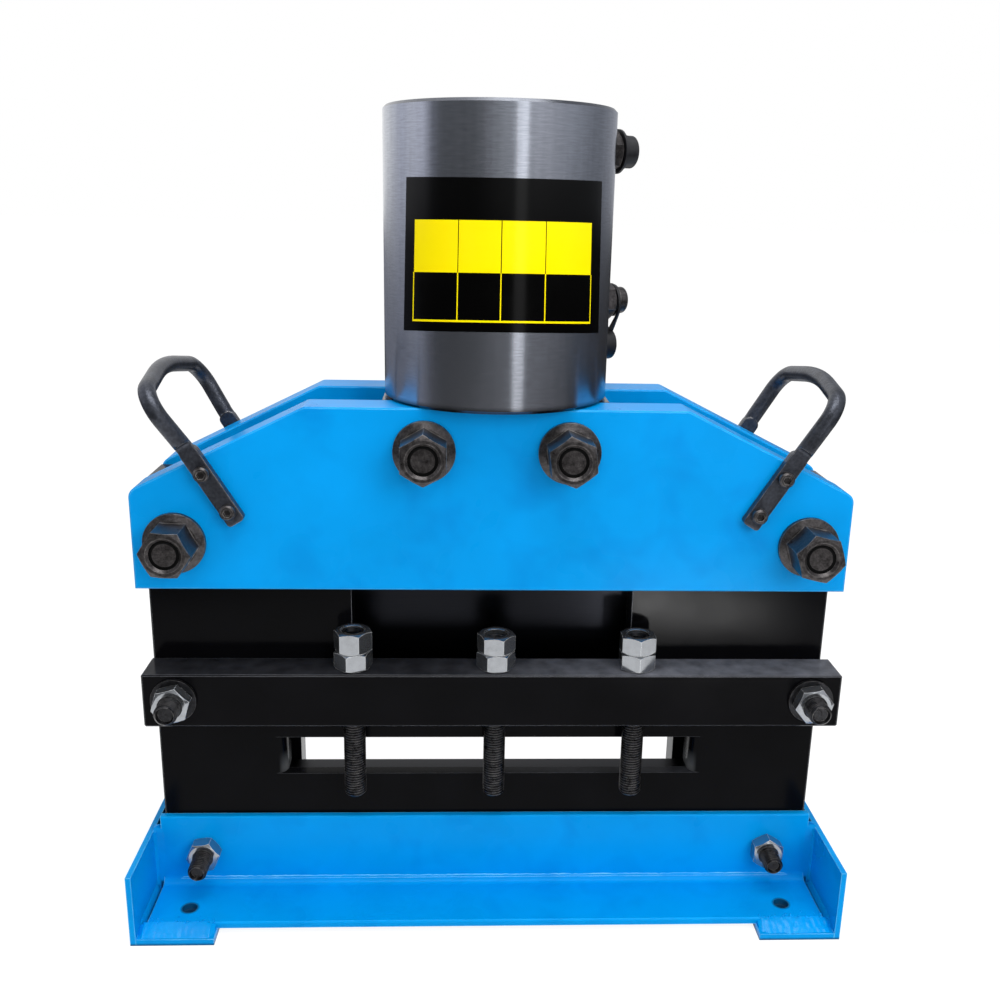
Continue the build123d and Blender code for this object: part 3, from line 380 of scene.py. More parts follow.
def bright_zinc(steel):
    """Bright zinc plate: cool silver with slightly uneven gloss and soft edges painted near white, a painted
    highlight.
    """
    material, add, place = new_material("bright_zinc_plate")
    # Haze in patches about 5 mm wide
    haze = add("TexNoise", inputs={"Vector": place, "Scale": per_mm(5), "Detail": 4.0})
    gloss = add("MapRange", inputs=(haze, 0.3, 0.7, 0.12, 0.2))
    shade = add("MapRange", inputs=(haze, 0.3, 0.7, 1.04, 0.92))
    body = add("VectorMath", "SCALE", {0: steel.zinc, "Scale": shade})
    # Edges painted near white: a painted highlight along the chamfers, partly burnished metal
    edge = edge_mask(add, 0.7 * MM, place, break_up=5, least=0.85)
    colour = add("Mix", BLEND, {"Factor": edge, UNDER: body, OVER: rgba(linear("#FAFBFC"))})
    # These edges scatter the light, so they stay pale whatever the flats mirror
    metal = add("MapRange", inputs=(edge, 0.0, 1.0, 0.92, 0.1))
    round_edge = add("Bevel", {"samples": 4}, {"Radius": 0.5 * MM})
    return finish_material(material, {
        "Base Color": colour, "Metallic": metal, "Roughness": gloss, "Normal": round_edge})


def turned_steel(steel):
    """Dark turned steel tube: grey metal with fine lathe marks that draw the light out into upright bands,
    and painted shade on its bottom rim and its top.
    """
    material, add, place = new_material("dark_turned_steel")
    axes = add("SeparateXYZ", inputs={"Vector": place})
    # Lathe marks: dashes about 10 mm long around the unrolled wall, coarser than real ones so that they show
    turn = add("Math", "ARCTAN2", (axes.outputs["X"], axes.outputs["Y"]))
    wall = add("CombineXYZ", inputs={"X": turn, "Y": axes.outputs["Z"]})
    unrolled = add("Mapping", inputs={"Vector": wall, "Scale": (8.0, 1 / steel.turning_pitch, 1.0)})
    marks = add("TexNoise", inputs={"Vector": unrolled, "Scale": 1.0, "Detail": 4.0})
    bump = add("Bump", inputs={"Strength": 0.1, "Distance": 0.02 * MM, "Height": marks})
    # Upright stains about 4 mm wide and 60 mm tall, left by oil that ran down
    runs = add("Mapping", inputs={"Vector": wall, "Scale": (20.0, per_mm(60), 1.0)})
    stain = add("TexNoise", inputs={"Vector": runs, "Scale": 1.0, "Detail": 5.0})
    mottle = add("Math", "MULTIPLY_ADD", (marks, 2.0, stain))
    shade = add("MapRange", inputs=(mottle, 1.1, 1.9, 0.89, 1.09))
    # A dark line of painted shade along the barrel's bottom rim, where it stands on the cheeks
    below = add("Math", "SUBTRACT", (axes.outputs["Z"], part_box("cylinder_barrel")[0].z))
    beside = add("Math", "ABSOLUTE", (below,))
    painted_rim_shade = add("MapRange", inputs=(beside, 1.5 * MM, 5 * MM, 0.2, 1.0))
    rim = add("Math", "MULTIPLY", (shade, painted_rim_shade))
    # The faced top and its chamfer are duller than the wall: painted darker, a painted shade against the lamp
    # above that they mirror
    face = add("NewGeometry")
    facing = add("SeparateXYZ", inputs={"Vector": face.outputs["Normal"]})
    dull = add("MapRange", inputs=(facing.outputs["Z"], 0.3, 0.6, 1.0, 0.38))
    brushed = add("MapRange", inputs=(facing.outputs["Z"], 0.3, 0.6, 0.8, 0.2))
    tone = add("Math", "MULTIPLY", (rim, dull))
    body = add("VectorMath", "SCALE", {0: steel.barrel, "Scale": tone})
    around = add("Tangent", {"direction_type": "RADIAL", "axis": "Z"})
    return finish_material(material, {
        "Base Color": body, "Metallic": 1.0, "Roughness": 0.22, "Anisotropic": brushed,
        "Anisotropic Rotation": 0.25, "Tangent": around, "Normal": bump})


def ground_tool_steel():
    """Hardened tool steel, surface ground: dark grey with straight fine scratches along the blade."""
    material, add, place = new_material("ground_tool_steel")
    # Grinding lines 20 mm long and 0.5 mm wide, coarser than real ones so that they show
    along = add("Mapping", inputs={"Vector": place, "Scale": (1.0, 40.0, 40.0)})
    lines = add("TexNoise", inputs={"Vector": along, "Scale": per_mm(20), "Detail": 3.0})
    shade = add("MapRange", inputs=(lines, 0.0, 1.0, 0.8, 1.15))
    body = add("VectorMath", "SCALE", {0: linear("#212226"), "Scale": shade})
    bump = add("Bump", inputs={"Strength": 0.2, "Distance": 0.02 * MM, "Height": lines})
    return finish_material(material, {
        "Base Color": body, "Metallic": 1.0, "Roughness": 0.28, "Normal": bump})


def hard_chrome():
    """Polished hard chrome on the rod: near mirror, with a faint trace of polishing rings."""
    material, add, place = new_material("hard_chrome")
    axes = add("SeparateXYZ", inputs={"Vector": place})
    # Polishing rings 0.8 mm apart, coarser than real ones so that they show
    rings = add("TexNoise", {"noise_dimensions": "1D"}, {
        "W": axes.outputs["Z"], "Scale": per_mm(0.8), "Detail": 2.0})
    gloss = add("MapRange", inputs=(rings, 0.0, 1.0, 0.05, 0.14))
    return finish_material(material, {
        "Base Color": rgba(linear("#D6D8DB")), "Metallic": 1.0, "Roughness": gloss})


def bearing_bronze():
    """Machined bearing bronze: warm yellow-brown metal, dull from oil."""
    material, add, place = new_material("bearing_bronze")
    # Oil in patches about 9 mm wide
    oil = add("TexNoise", inputs={"Vector": place, "Scale": per_mm(9), "Detail": 3.0})
    gloss = add("MapRange", inputs=(oil, 0.0, 1.0, 0.25, 0.45))
    return finish_material(material, {
        "Base Color": rgba(linear("#B08A4E")), "Metallic": 1.0, "Roughness": gloss})


def moulded_rubber(name, hex_code, shine=0.5):
    """Moulded nitrile rubber, or thick grease that also serves as painted shade: dull black with a faint
    grain of dust.
    """
    material, add, place = new_material(name)
    # Dust in patches about 3 mm wide
    dust = add("TexNoise", inputs={"Vector": place, "Scale": per_mm(3), "Detail": 5.0})
    shade = add("MapRange", inputs=(dust, 0.3, 0.7, 0.8, 1.6))
    body = add("VectorMath", "SCALE", {0: linear(hex_code), "Scale": shade})
    bump = add("Bump", inputs={"Strength": 0.3, "Distance": 0.05 * MM, "Height": dust})
    return finish_material(material, {
        "Base Color": body, "Roughness": 0.45, "Normal": bump, "Specular IOR Level": shine})


def printed_film(name, colour):
    """Self-adhesive vinyl film: flat colour with an even satin gloss and faint waves from laying it on."""
    material, add, place = new_material(name)
    # Waves about 16 mm wide
    wave = add("TexNoise", inputs={"Vector": place, "Scale": per_mm(16), "Detail": 1.0})
    bump = add("Bump", inputs={"Strength": 0.2, "Distance": 0.05 * MM, "Height": wave})
    gloss = add("MapRange", inputs=(wave, 0.0, 1.0, 0.12, 0.2))
    return finish_material(material, {
        "Base Color": rgba(colour), "Roughness": gloss, "Normal": bump, "Specular IOR Level": 0.18})


def coat_nodes(material, names):
    """Gives CAD nodes their finish."""
    for name in names:
        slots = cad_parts[name].data.materials
        slots.clear()
        slots.append(material)


# Meshes
def add_piece(name, mesh_data, material, body):
    """Makes an object from a bmesh, shades it, and fixes it to a body."""
    bmesh.ops.recalc_face_normals(mesh_data, faces=mesh_data.faces)
    for face in mesh_data.faces:
        face.smooth = True
    for edge in mesh_data.edges:
        if len(edge.link_faces) == 2 and edge.calc_face_angle() > SHARP_BEND:
            edge.smooth = False
    mesh = bpy.data.meshes.new(name)
    mesh_data.to_mesh(mesh)
    mesh_data.free()
    mesh.materials.append(material)
    piece = bpy.data.objects.new(name, mesh)
    bpy.context.scene.collection.objects.link(piece)
    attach(piece, body)
    return piece


def skin_rings(bm, rings, capped=True):
    """Joins rings of points into a tube, which is capped at its ends or runs back into itself."""
    followers = rings[1:] if capped else rings[1:] + rings[:1]
    for a, b in zip(rings, followers):
        for k in range(len(a)):
            n = (k + 1) % len(a)
            bm.faces.new((a[k], a[n], b[n], b[k]))
    if capped:
        bm.faces.new(rings[0])
        bm.faces.new(reversed(rings[-1]))


def add_thread(bm, thread, radius, length, place):
    """A stud with a cut thread and tapered tips, along Z from zero, moved to its place."""
    # One turn of the profile: how far along the pitch each corner lies, and how deep it is cut
    profile = ((0.0, 0.0), (0.125, 0.0), (0.4375, 1.0), (0.6875, 1.0))
    # Spare turns reach past both ends and are cut off there
    turns = math.ceil(length / thread.pitch) + 3
    corners = [(turn - 2 + step, cut) for turn in range(turns) for step, cut in profile]
    lowest = radius - thread.tip_chamfer
    columns = []
    for j in range(thread.segments):
        angle = 2 * math.pi * j / thread.segments
        column = []
        for rise, cut in corners:
            z = (rise + j / thread.segments) * thread.pitch
            z = min(max(z, 0.0), length)
            to_end = min(z, length - z)
            r = min(radius - cut * thread.depth, lowest + to_end)
            column.append(bm.verts.new(place @ Vector((r * math.cos(angle), r * math.sin(angle), z))))
        columns.append(column)
    rows = len(corners)
    step_up = len(profile)
    for j in range(thread.segments):
        last = j == thread.segments - 1
        here = columns[j]
        there = columns[0][step_up:] if last else columns[j + 1]
        for k in range(min(rows, len(there)) - 1):
            bm.faces.new((here[k], there[k], there[k + 1], here[k + 1]))


def close_thread(bm, thread):
    """Merges what the trimmed ends left on one spot and closes each end with a rim around a hollow."""
    same_spot, no_length = 1e-6, 1e-7
    bmesh.ops.remove_doubles(bm, verts=bm.verts, dist=same_spot)
    bmesh.ops.dissolve_degenerate(bm, edges=bm.edges, dist=no_length)
    open_edges = [edge for edge in bm.edges if edge.is_boundary]
    ends = bmesh.ops.holes_fill(bm, edges=open_edges, sides=0)["faces"]
    bmesh.ops.recalc_face_normals(bm, faces=bm.faces)
    bmesh.ops.inset_individual(bm, faces=ends, thickness=thread.end_rim)
    for end in ends:
        bmesh.ops.translate(bm, verts=end.verts, vec=end.normal * -thread.end_hollow)


def label_spot(label, radius, turn, z):
    """A point on the barrel. Towards its bottom the label is a little wider and rises in the middle."""
    low = (label.top - z) / (label.top - label.bottom)
    across = math.sin(turn) * (1 + label.spread * low)
    edge = math.cos(max(-label.left, label.right))
    lift = label.bow * low * (math.cos(turn) - edge) / (1 - edge)
    return Vector((across * radius, -math.sqrt(1 - across ** 2) * radius, z + lift))


def add_barrel_patch(bm, label, radius, left, right, bottom, top):
    """A thin curved sheet on the barrel. Angles are from the front, positive to the right."""
    steps = max(2, math.ceil((right - left) / math.radians(2)))
    outer = radius + label.film
    rings = []
    for i in range(steps + 1):
        turn = left + (right - left) * i / steps
        corners = ((radius, bottom), (outer, bottom), (outer, top), (radius, top))
        rings.append([bm.verts.new(label_spot(label, r, turn, z)) for r, z in corners])
    skin_rings(bm, rings)


def add_bead(bm, weld, start, end, along_a, along_b, bulge, rough, seed):
    """A weld bead in the corner of two plates. The vectors reach from the corner along the plates."""
    start, end = Vector(start), Vector(end)
    length = (end - start).length
    a, b = Vector(along_a), Vector(along_b)
    count = max(8, round(length / (weld.lump / 6)))
    steps = 8
    # Shares of the bead's size: how far it is sunk into the plates, its waves and lumps, and its two ends
    sink, wave_height, lump_height, end_size = 0.03, 0.12, 0.14, 0.6
    # Each bead reads the noise at a place of its own
    shift = Vector((seed * 7.3, seed * 3.1, 0.5))
    rings = []
    for i in range(count + 1):
        s = length * i / count
        taper = min(1.0, end_size + (1 - end_size) * min(s, length - s) / weld.lump)
        spot = start.lerp(end, i / count)
        ring = [bm.verts.new(spot - (a + b) * sink)]
        for k in range(steps):
            t = -sink + (1 + 2 * sink) * k / (steps - 1)
            reach = a * (1 - t) + b * t
            # Long waves and short lumps, as a torch held by hand leaves them
            wave = noise.noise((spot + reach) / (weld.lump * 6) + shift)
            lumps = noise.noise((spot + reach) / weld.lump - shift)
            arch = bulge * math.sin(math.pi * min(max(t, 0.0), 1.0))
            swell = 1 + arch + rough * (wave_height * wave + lump_height * lumps)
            ring.append(bm.verts.new(spot + reach * (taper * swell)))
        rings.append(ring)
    skin_rings(bm, rings)


def add_ring(bm, middle, inner, outer, crown):
    """A low round ring that faces the front, around a middle."""
    around, across = 48, 7
    sunk = Vector((0, 0.5 * MM, 0))
    rows = []
    for i in range(around):
        turn = 2 * math.pi * i / around
        out = Vector((math.cos(turn), 0, math.sin(turn)))
        row = []
        for k in range(across):
            share = k / (across - 1)
            rise = crown * math.sin(math.pi * share)
            row.append(bm.verts.new(middle + out * (inner + (outer - inner) * share) + Vector((0, -rise, 0))))
        row += [bm.verts.new(middle + out * edge + sunk) for edge in (outer, inner)]
        rows.append(row)
    skin_rings(bm, rows, capped=False)


def add_spatter(bm, count, start, end, across, seed):
    """Drops of weld spatter under the paint, strewn along a line and to one side of it."""
    draw = random.Random(seed)
    start, end, across = Vector(start), Vector(end), Vector(across)
    for _ in range(count):
        spot = start.lerp(end, draw.random()) + across * draw.random() ** 2
        place = Matrix.Translation(spot) @ Matrix.Rotation(draw.uniform(0, math.pi), 4, "Z")
        radius = draw.uniform(0.35, 0.95) * MM
        bmesh.ops.create_icosphere(bm, subdivisions=2, radius=radius, matrix=place)


# Operators: one for each piece or group of like pieces
class CUTTER_OT_blue_frame(bpy.types.Operator):
    """Paints the base and the cheek plates blue"""
    bl_idname = "cutter.blue_frame"
    bl_label = "Blue frame"

    def execute(self, context):
        paint = context.scene.cutter_paint
        coat = blue_enamel(paint, "blue_alkyd_enamel", edge_share=0.85, smooth=0.24, shine=0.07)
        coat_nodes(coat, [
            "base_front_angle", "base_rear_angle", "left_foot_plate", "right_foot_plate", "left_end_plate",
            "right_end_plate", "front_cheek_plate", "rear_cheek_plate"])
        return {"FINISHED"}


class CUTTER_OT_black_body(bpy.types.Operator):
    """Paints the guide plates, the blade carrier and the clamp bar black"""
    bl_idname = "cutter.black_body"
    bl_label = "Black body"

    def execute(self, context):
        coat_nodes(black_enamel(context.scene.cutter_paint), [
            "front_guide_plate", "rear_guide_plate", "guide_spacer", "clamp_bar", "blade_carrier"])
        return {"FINISHED"}


class CUTTER_OT_handles(bpy.types.Operator):
    """Coats the two handles"""
    bl_idname = "cutter.handles"
    bl_label = "Handles"

    def execute(self, context):
        coat_nodes(handle_coat(context.scene.cutter_steel), ["left_handle", "right_handle"])
        return {"FINISHED"}


class CUTTER_OT_fasteners(bpy.types.Operator):
    """Blackens the bolts and plates the bright nuts"""
    bl_idname = "cutter.fasteners"
    bl_label = "Fasteners"

    def execute(self, context):
        steel = context.scene.cutter_steel
        black = blackened_steel("black_oxide_steel", steel.oxide, steel.rubbed,
                                edge_width=0.9 * MM, edge_share=0.9, smooth=0.26)
        oiled = blackened_steel("oiled_washer_steel", steel.thread, steel.rubbed,
                                edge_width=0.4 * MM, edge_share=0.5, smooth=0.3)
        coat_nodes(black, [
            "base_studs", "clamp_bar_studs", "frame_bolts", "frame_washers", "collar_nuts", "handle_screws",
            "lower_blade_screws", "upper_blade_screws", "hold_down_screw_left", "hold_down_screw_centre",
            "hold_down_screw_right", "upper_coupler", "lower_coupler", "piston_nut"])
        coat_nodes(oiled, ["clamp_bar_washers"])
        coat_nodes(bright_zinc(steel), [
            "base_nuts", "clamp_bar_nuts", "hold_down_nuts_left", "hold_down_nuts_centre",
            "hold_down_nuts_right"])
        return {"FINISHED"}


class CUTTER_OT_threads(bpy.types.Operator):
    """Cuts the threads of the hold-down screws and the studs"""
    bl_idname = "cutter.threads"
    bl_label = "Threads"

    def execute(self, context):
        thread = context.scene.cutter_thread
        steel = context.scene.cutter_steel
        material = blackened_steel("oiled_thread_steel", steel.thread, steel.rubbed,
                                   edge_width=0.4 * MM, edge_share=0.8, smooth=0.22)
        for side in ("left", "centre", "right"):
            node = f"hold_down_screw_{side}"
            low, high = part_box(node)
            radius = (high.x - low.x) / 2
            middle = (low + high) / 2
            bm = bmesh.new()
            add_thread(bm, thread, radius, high.z - low.z, Matrix.Translation((middle.x, middle.y, low.z)))
            close_thread(bm, thread)
            piece = add_piece(f"hold_down_thread_{side}", bm, material, f"hold_down_{side}")
            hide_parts(node)
        # The left base stud stands further out in front than the right one
        for node, shifts in (("clamp_bar_studs", (0.0, 0.0)), ("base_studs", (4 * MM, 0.0))):
            low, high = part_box(node)
            radius = (high.z - low.z) / 2
            length = high.y - low.y - max(shifts)
            bm = bmesh.new()
            for x, shift in zip((low.x + radius, high.x - radius), shifts):
                spot = Matrix.Translation((x, high.y - shift, low.z + radius))
                add_thread(bm, thread, radius, length, spot @ Matrix.Rotation(math.radians(90), 4, "X"))
            close_thread(bm, thread)
            piece = add_piece(f"{node}_threads", bm, material, "frame")
            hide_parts(node)
        return {"FINISHED"}


class CUTTER_OT_grease(bpy.types.Operator):
    """Fills the ring between each frame bolt's end and its collar nut with dark grease, which is also painted
    shade in that ring
    """
    bl_idname = "cutter.grease"
    bl_label = "Grease rings"

    def execute(self, context):
        grease = context.scene.cutter_steel
        crown = 0.25 * MM
        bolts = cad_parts["frame_bolts"].data.vertices
        face_y = min(v.co.y for v in bolts)
        ends = [v.co for v in bolts if v.co.y < face_y + 0.1 * MM]
        assert ends, "the bolts' ends weren't found"
        bm = bmesh.new()
        for x, z in self.middles(ends):
            add_ring(bm, Vector((x, face_y, z)), grease.grease_inner, grease.grease_outer, crown)
        coat = moulded_rubber("grease_and_painted_shade", "#020202", shine=0.1)
        add_piece("grease_and_shade_rings", bm, coat, "frame")
        return {"FINISHED"}

    def middles(self, points):
        """The middle of each bolt's end, from the points on its rim."""
        near = 30 * MM
        heaps = []
        for point in points:
            heap = next((h for h in heaps if (h[0] - point).length < near), None)
            if heap is None:
                heaps.append([point])
            else:
                heap.append(point)
        for heap in heaps:
            xs = [p.x for p in heap]
            zs = [p.z for p in heap]
            yield (min(xs) + max(xs)) / 2, (min(zs) + max(zs)) / 2


class CUTTER_OT_cylinder(bpy.types.Operator):
    """Finishes the cylinder, its rod, bushes and seals"""
    bl_idname = "cutter.cylinder"
    bl_label = "Cylinder"

    def execute(self, context):
        coat_nodes(turned_steel(context.scene.cutter_steel), [
            "cylinder_barrel", "cylinder_head", "piston", "cross_pin"])
        coat_nodes(hard_chrome(), ["piston_rod"])
        coat_nodes(bearing_bronze(), ["rod_guide_bush", "piston_guide_ring"])
        coat_nodes(moulded_rubber("nitrile_seal", "#1A1A1C"), [
            "head_seal", "rod_seal", "rod_wiper", "piston_seal"])
        return {"FINISHED"}


class CUTTER_OT_dust_caps(bpy.types.Operator):
    """Finishes the couplers' dust caps and strap"""
    bl_idname = "cutter.dust_caps"
    bl_label = "Dust caps"

    def execute(self, context):
        coat_nodes(moulded_rubber("soft_black_cap", "#17171A"), [
            "upper_dust_cap", "upper_cap_ring", "lower_dust_cap", "lower_cap_strap"])
        return {"FINISHED"}


class CUTTER_OT_blades(bpy.types.Operator):
    """Finishes the two blades"""
    bl_idname = "cutter.blades"
    bl_label = "Blades"

    def execute(self, context):
        coat_nodes(ground_tool_steel(), ["upper_blade", "lower_blade"])
        return {"FINISHED"}


class CUTTER_OT_label(bpy.types.Operator):
    """Lays the label on the barrel: a black film with an empty yellow table"""
    bl_idname = "cutter.label"
    bl_label = "Label"

    def execute(self, context):
        label = context.scene.cutter_label
        low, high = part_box("cylinder_barrel")
        radius = (high.x - low.x) / 2
        bm = bmesh.new()
        add_barrel_patch(bm, label, radius, label.left, label.right, label.bottom, label.top)
        add_piece("label_film", bm, printed_film("black_vinyl_film", label.ground), "frame")
        # The table's edges, as angles from the front and heights, and the widths of its printed lines
        left, right = math.radians(-43.8), math.radians(47.1)
        table_bottom, band_bottom, band_top = 441.5 * MM, 471.7 * MM, 504.4 * MM
        upright_line, bottom_line, gap = 0.7 * MM, 1.3 * MM, 0.6 * MM
        face = radius + label.film
        half = upright_line / face / 2
        half_gap = gap / face / 2
        columns = [left + (right - left) * share for share in (0.0, 0.262, 0.478, 0.703, 1.0)]
        bm = bmesh.new()
        for a, b in zip(columns, columns[1:]):
            add_barrel_patch(bm, label, face, a + half_gap, b - half_gap, band_bottom, band_top)
        for turn in columns:
            add_barrel_patch(bm, label, face, turn - half, turn + half, table_bottom, band_bottom)
        add_barrel_patch(bm, label, face, left - half, right + half, table_bottom - bottom_line, table_bottom)
        add_piece("label_table", bm, printed_film("yellow_print", label.band), "frame")
        return {"FINISHED"}


class CUTTER_OT_welds(bpy.types.Operator):
    """Lays the weld beads that join the angles to the foot and end plates"""
    bl_idname = "cutter.welds"
    bl_label = "Welds"

    def execute(self, context):
        weld = context.scene.cutter_weld
        bm = bmesh.new()
        angle_low, angle_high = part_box("base_front_angle")
        foot_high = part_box("left_foot_plate")[1]
        plate_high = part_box("left_end_plate")[1]
        # The angle leg's thickness, how far beads lap past an edge, and how far spatter is strewn
        leg, lap, strewn = 5 * MM, 1 * MM, 7 * MM
        # The bead in the groove stays back from the leg and stands a little above it
        groove, proud = 1.5 * MM, 0.6 * MM
        foot_top, leg_top = foot_high.z, foot_high.z + leg
        corner_top = plate_high.z + 2.1 * MM
        up = Vector((0, 0, 1))
        seed = 1
        for side_x in (-1, 1):
            inner = side_x * (abs(foot_high.x) + lap)
            outer = side_x * abs(angle_low.x)
            wall = side_x * abs(plate_high.x)
            gap = abs(wall - outer)
            for side_y in (-1, 1):
                toe_y = side_y * abs(angle_low.y)
                upright_y = side_y * (abs(angle_high.y) + leg)
                roughness = 1.0 if side_x == 1 else 0.35
                out = Vector((0, side_y, 0))
                inward = Vector((-side_x, 0, 0))
                # Along the leg's edge on the foot plate
                add_bead(bm, weld, (inner, toe_y, foot_top), (wall, toe_y, foot_top),
                         out * weld.toe, up * leg, bulge=0.06, rough=roughness, seed=seed)
                # Up the corner between the upright and the end plate
                add_bead(bm, weld, (wall, upright_y, foot_top), (wall, upright_y, corner_top),
                         inward * (gap + weld.corner), out * 0.3 * weld.corner,
                         bulge=-0.1, rough=0.1, seed=seed + 1)
                # In the gap behind that bead
                deep_y = side_y * (abs(angle_high.y) + lap)
                add_bead(bm, weld, (wall, deep_y, foot_top), (wall, deep_y, corner_top),
                         inward * (gap + lap), out * (leg + lap), bulge=0.0, rough=0.2, seed=seed + 12)
                # Along the end plate beside the leg's end, where a groove stays open
                add_bead(bm, weld, (wall, upright_y, foot_top), (wall, toe_y, foot_top),
                         inward * (gap - groove), up * (leg + proud), bulge=-0.1, rough=0.3, seed=seed + 2)
                add_spatter(bm, weld.spatter, (inner, toe_y, leg_top), (wall, toe_y, leg_top),
                            out * -strewn, seed)
                seed += 3
        paint = context.scene.cutter_paint
        coat = blue_enamel(paint, "blue_enamel_on_welds", edge_share=0.0, smooth=0.16, shine=0.2)
        add_piece("base_weld_beads", bm, coat, "frame")
        # A thin ridge of paint along the root of each angle
        ridge_out, ridge_up, inset = 1.0 * MM, 2.0 * MM, 12 * MM
        ridge_z = leg_top + weld.ridge_height
        left, right = angle_low.x + inset, angle_high.x - inset
        bm = bmesh.new()
        for side_y in (-1, 1):
            root_y = side_y * (abs(angle_high.y) + leg)
            add_bead(bm, weld, (left, root_y, ridge_z), (right, root_y, ridge_z),
                     (0, side_y * ridge_out, 0), up * ridge_up, bulge=0.0, rough=1.6, seed=seed)
            seed += 1
        add_piece("base_root_ridges", bm, bpy.data.materials["blue_alkyd_enamel"], "frame")
        return {"FINISHED"}


class CUTTER_OT_stage(bpy.types.Operator):
    """Sets the floor, the studio light and the camera"""
    bl_idname = "cutter.stage"
    bl_label = "Stage"

    def execute(self, context):
        scene = context.scene
        stage = scene.cutter_stage
        scene.view_settings.view_transform = "Standard"
        self.floor(scene, stage)
        self.world(scene, stage)
        self.lights(scene)
        self.camera(scene, stage)
        return {"FINISHED"}

    def floor(self, scene, stage):
        material, add, place = new_material("pale_studio_floor")
        sight = add("LightPath")
        # Metal mirrors a pale sheet that fades out 0.66 to 0.9 m away, and a dark floor further out
        away = add("VectorMath", "DISTANCE", (place, (0.0, 0.0, 0.0)))
        far = add("MapRange", SOFT, (away, 0.66, 0.9))
        dark = add("Math", "MULTIPLY", (far, sight.outputs["Is Glossy Ray"]))
        # A pool of light from a window is painted on the floor to the left
        across = add("SeparateXYZ", inputs={"Vector": place})
        left = add("MapRange", SOFT, (across.outputs["X"], -0.7, -1.5))
        level = add("MapRange", SOFT, (across.outputs["Y"], -0.8, -0.3))
        painted_window_light = add("Math", "MULTIPLY", (left, level))
        outer = add("Mix", BLEND, {
            "Factor": painted_window_light, UNDER: rgba(stage.dark_floor), OVER: rgba(linear("#8A8D9A"))})
        colour = add("Mix", BLEND, {"Factor": dark, UNDER: rgba(stage.floor), OVER: outer})
        diffuse = add("BsdfDiffuse", inputs={"Color": colour})
        # A share of the floor glows, so that it is seen as white, and the rest keeps the shadow
        glow, glow_share = 1.36, 0.65
        white = add("Emission", inputs={"Color": (1, 1, 1, 1), "Strength": glow})
        sheet = add("Math", "SUBTRACT", (sight.outputs["Is Glossy Ray"], dark))
        seen = add("Math", "MAXIMUM", (
            sight.outputs["Is Camera Ray"], sight.outputs["Is Transmission Ray"]))
        either = add("Math", "MAXIMUM", (seen, sheet))
        share = add("Math", "MULTIPLY", (either, glow_share))
        both = add("MixShader", inputs=(share, diffuse, white))
        add("OutputMaterial", inputs={"Surface": both})
        # Metres from the middle to the floor's sides
        reach = 30
        bm = bmesh.new()
        bmesh.ops.create_grid(bm, x_segments=1, y_segments=1, size=reach)
        mesh = bpy.data.meshes.new("floor")
        bm.to_mesh(mesh)
        bm.free()
        mesh.materials.append(material)
        floor = bpy.data.objects.new("floor", mesh)
        scene.collection.objects.link(floor)

    def world(self, scene, stage):
        world = bpy.data.worlds.new("soft_studio")
        world.use_nodes = True
        world.node_tree.nodes.clear()
        add = functools.partial(add_node, world.node_tree)
        sight = add("LightPath")
        towards = add("TexCoord").outputs["Generated"]
        axes = add("SeparateXYZ", inputs={"Vector": towards})
        angle = add("Math", "ARCTAN2", (axes.outputs["X"], axes.outputs["Y"]))
        around = add("MapRange", inputs=(angle, -math.pi, math.pi))
        room = add("ValToRGB", inputs={"Fac": around})
        stops = room.color_ramp.elements
        for degrees, light in SURROUNDINGS[1:-1]:
            stops.new((degrees + 180) / 360).color = rgba(linear(light))
        stops[0].color = rgba(linear(SURROUNDINGS[0][1]))
        stops[-1].color = rgba(linear(SURROUNDINGS[-1][1]))
        seen = add("Math", "MAXIMUM", (
            sight.outputs["Is Camera Ray"], sight.outputs["Is Transmission Ray"]))
        mirrored = add("Mix", BLEND, {
            "Factor": sight.outputs["Is Glossy Ray"],
            UNDER: (stage.soft_light, stage.soft_light, stage.soft_light, 1.0), OVER: room})
        light = add("Mix", BLEND, {"Factor": seen, UNDER: mirrored, OVER: (1.0, 1.0, 1.0, 1.0)})
        sky = add("Background", inputs={"Color": light, "Strength": 1.0})
        add("OutputWorld", inputs={"Surface": sky})
        scene.world = world

    def lights(self, scene):
        # Name, place, what it points at, width, height, watts, degrees it fans out, and what shows it
        lamps = (
            ("right_key", (1.0, -1.5, 1.1), (0.0, 0.0, 0.3), 1.0, 1.0, 13.4, 180, "matt"),
            ("left_fill", (-1.1, -1.5, 0.8), (0.0, 0.0, 0.3), 1.0, 1.0, 3.0, 180, "matt"),
            ("tall_strip", (0.5, -1.42, 0.45), (0.0, 0.0, 0.45), 0.28, 1.4, 1.25, 180, "both"),
            ("top_box", (0.1, -0.38, 1.7), (0.0, 0.0, 0.2), 1.2, 0.9, 14.2, 180, "both"),
            ("floor_glow", (0.285, -0.575, 0.012), (0.175, -0.027, 0.22), 0.19, 0.08, 0.0105, 15, "glossy"),
        )
        for name, place, target, width, height, watts, fan, shown_by in lamps:
            lamp = bpy.data.lights.new(name, "AREA")
            lamp.shape = "RECTANGLE"
            lamp.size = width
            lamp.size_y = height
            lamp.energy = watts
            lamp.spread = math.radians(fan)
            holder = bpy.data.objects.new(name, lamp)
            holder.location = place
            sight = Vector(target) - Vector(place)
            holder.rotation_euler = sight.to_track_quat("-Z", "Y").to_euler()
            holder.visible_camera = False
            holder.visible_glossy = shown_by != "matt"
            holder.visible_diffuse = shown_by != "glossy"
            scene.collection.objects.link(holder)

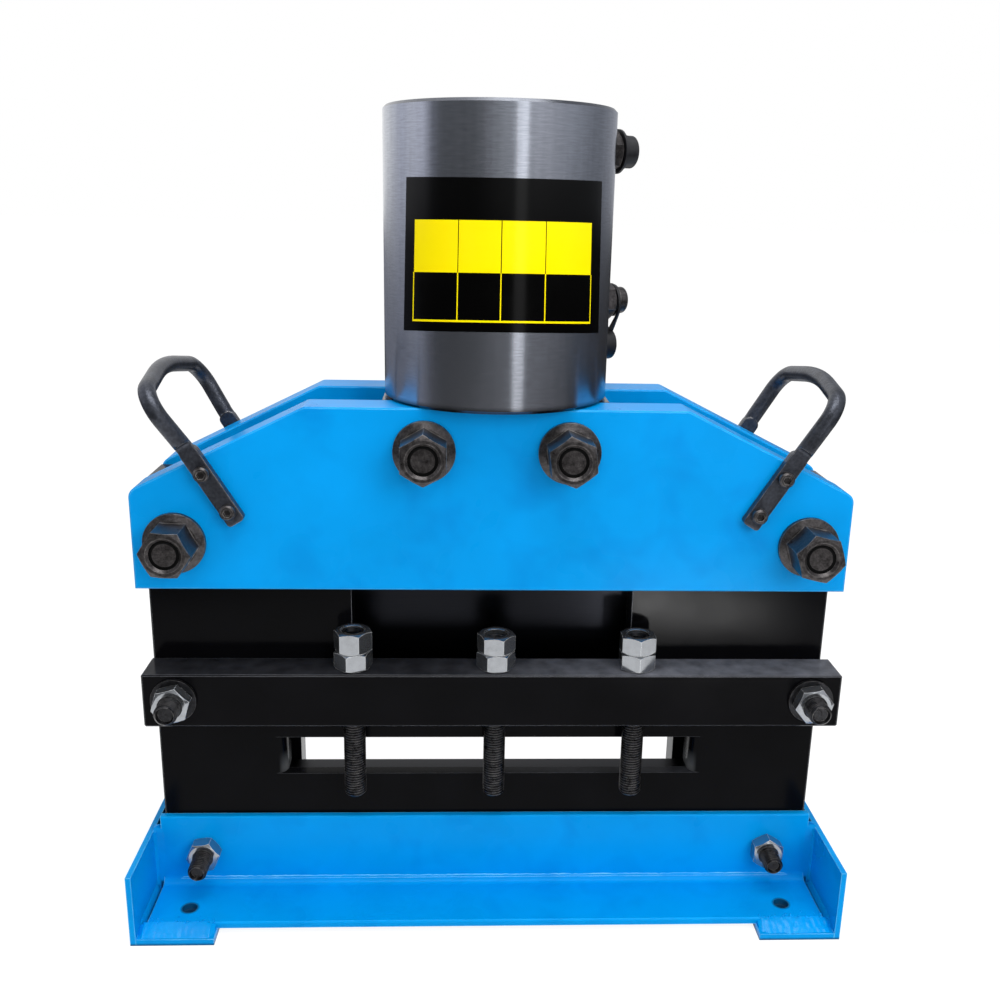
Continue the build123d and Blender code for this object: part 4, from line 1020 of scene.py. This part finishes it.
    def camera(self, scene, stage):
        lens = bpy.data.cameras.new("photo_camera")
        lens.sensor_width = 36.0
        lens.lens = stage.lens
        lens.clip_start = 0.01
        camera = bpy.data.objects.new("photo_camera", lens)
        scene.collection.objects.link(camera)
        turn = (Matrix.Rotation(stage.camera_yaw, 4, "Z") @ Matrix.Rotation(stage.camera_pitch, 4, "X")
                @ Matrix.Rotation(stage.camera_roll, 4, "Y") @ Matrix.Rotation(math.radians(90), 4, "X"))
        camera.matrix_world = Matrix.Translation(stage.camera_place) @ turn
        scene.camera = camera


class CUTTER_PT_panel(bpy.types.Panel):
    """Lists the steps that dress the machine"""
    bl_label = "Busbar cutter"
    bl_idname = "CUTTER_PT_panel"
    bl_space_type = "VIEW_3D"
    bl_region_type = "UI"
    bl_category = "Busbar Cutter"

    def draw(self, context):
        for step in STEPS:
            self.layout.operator(step.bl_idname)


STEPS = (
    CUTTER_OT_blue_frame, CUTTER_OT_black_body, CUTTER_OT_handles, CUTTER_OT_fasteners, CUTTER_OT_threads,
    CUTTER_OT_grease, CUTTER_OT_cylinder, CUTTER_OT_dust_caps, CUTTER_OT_blades, CUTTER_OT_label,
    CUTTER_OT_welds, CUTTER_OT_stage,
)
GROUPS = {
    "cutter_paint": PaintSettings, "cutter_steel": SteelSettings, "cutter_thread": ThreadSettings,
    "cutter_label": LabelSettings, "cutter_weld": WeldSettings, "cutter_stage": StageSettings,
}


def register():
    for name, group in GROUPS.items():
        bpy.utils.register_class(group)
        setattr(bpy.types.Scene, name, bpy.props.PointerProperty(type=group))
    for step in STEPS:
        bpy.utils.register_class(step)
    bpy.utils.register_class(CUTTER_PT_panel)


def unregister():
    bpy.utils.unregister_class(CUTTER_PT_panel)
    for step in reversed(STEPS):
        bpy.utils.unregister_class(step)
    for name, group in reversed(GROUPS.items()):
        delattr(bpy.types.Scene, name)
        bpy.utils.unregister_class(group)


def main():
    register()
    for step in STEPS:
        category, name = step.bl_idname.split(".")
        getattr(getattr(bpy.ops, category), name)()


if __name__ == "__main__":
    main()
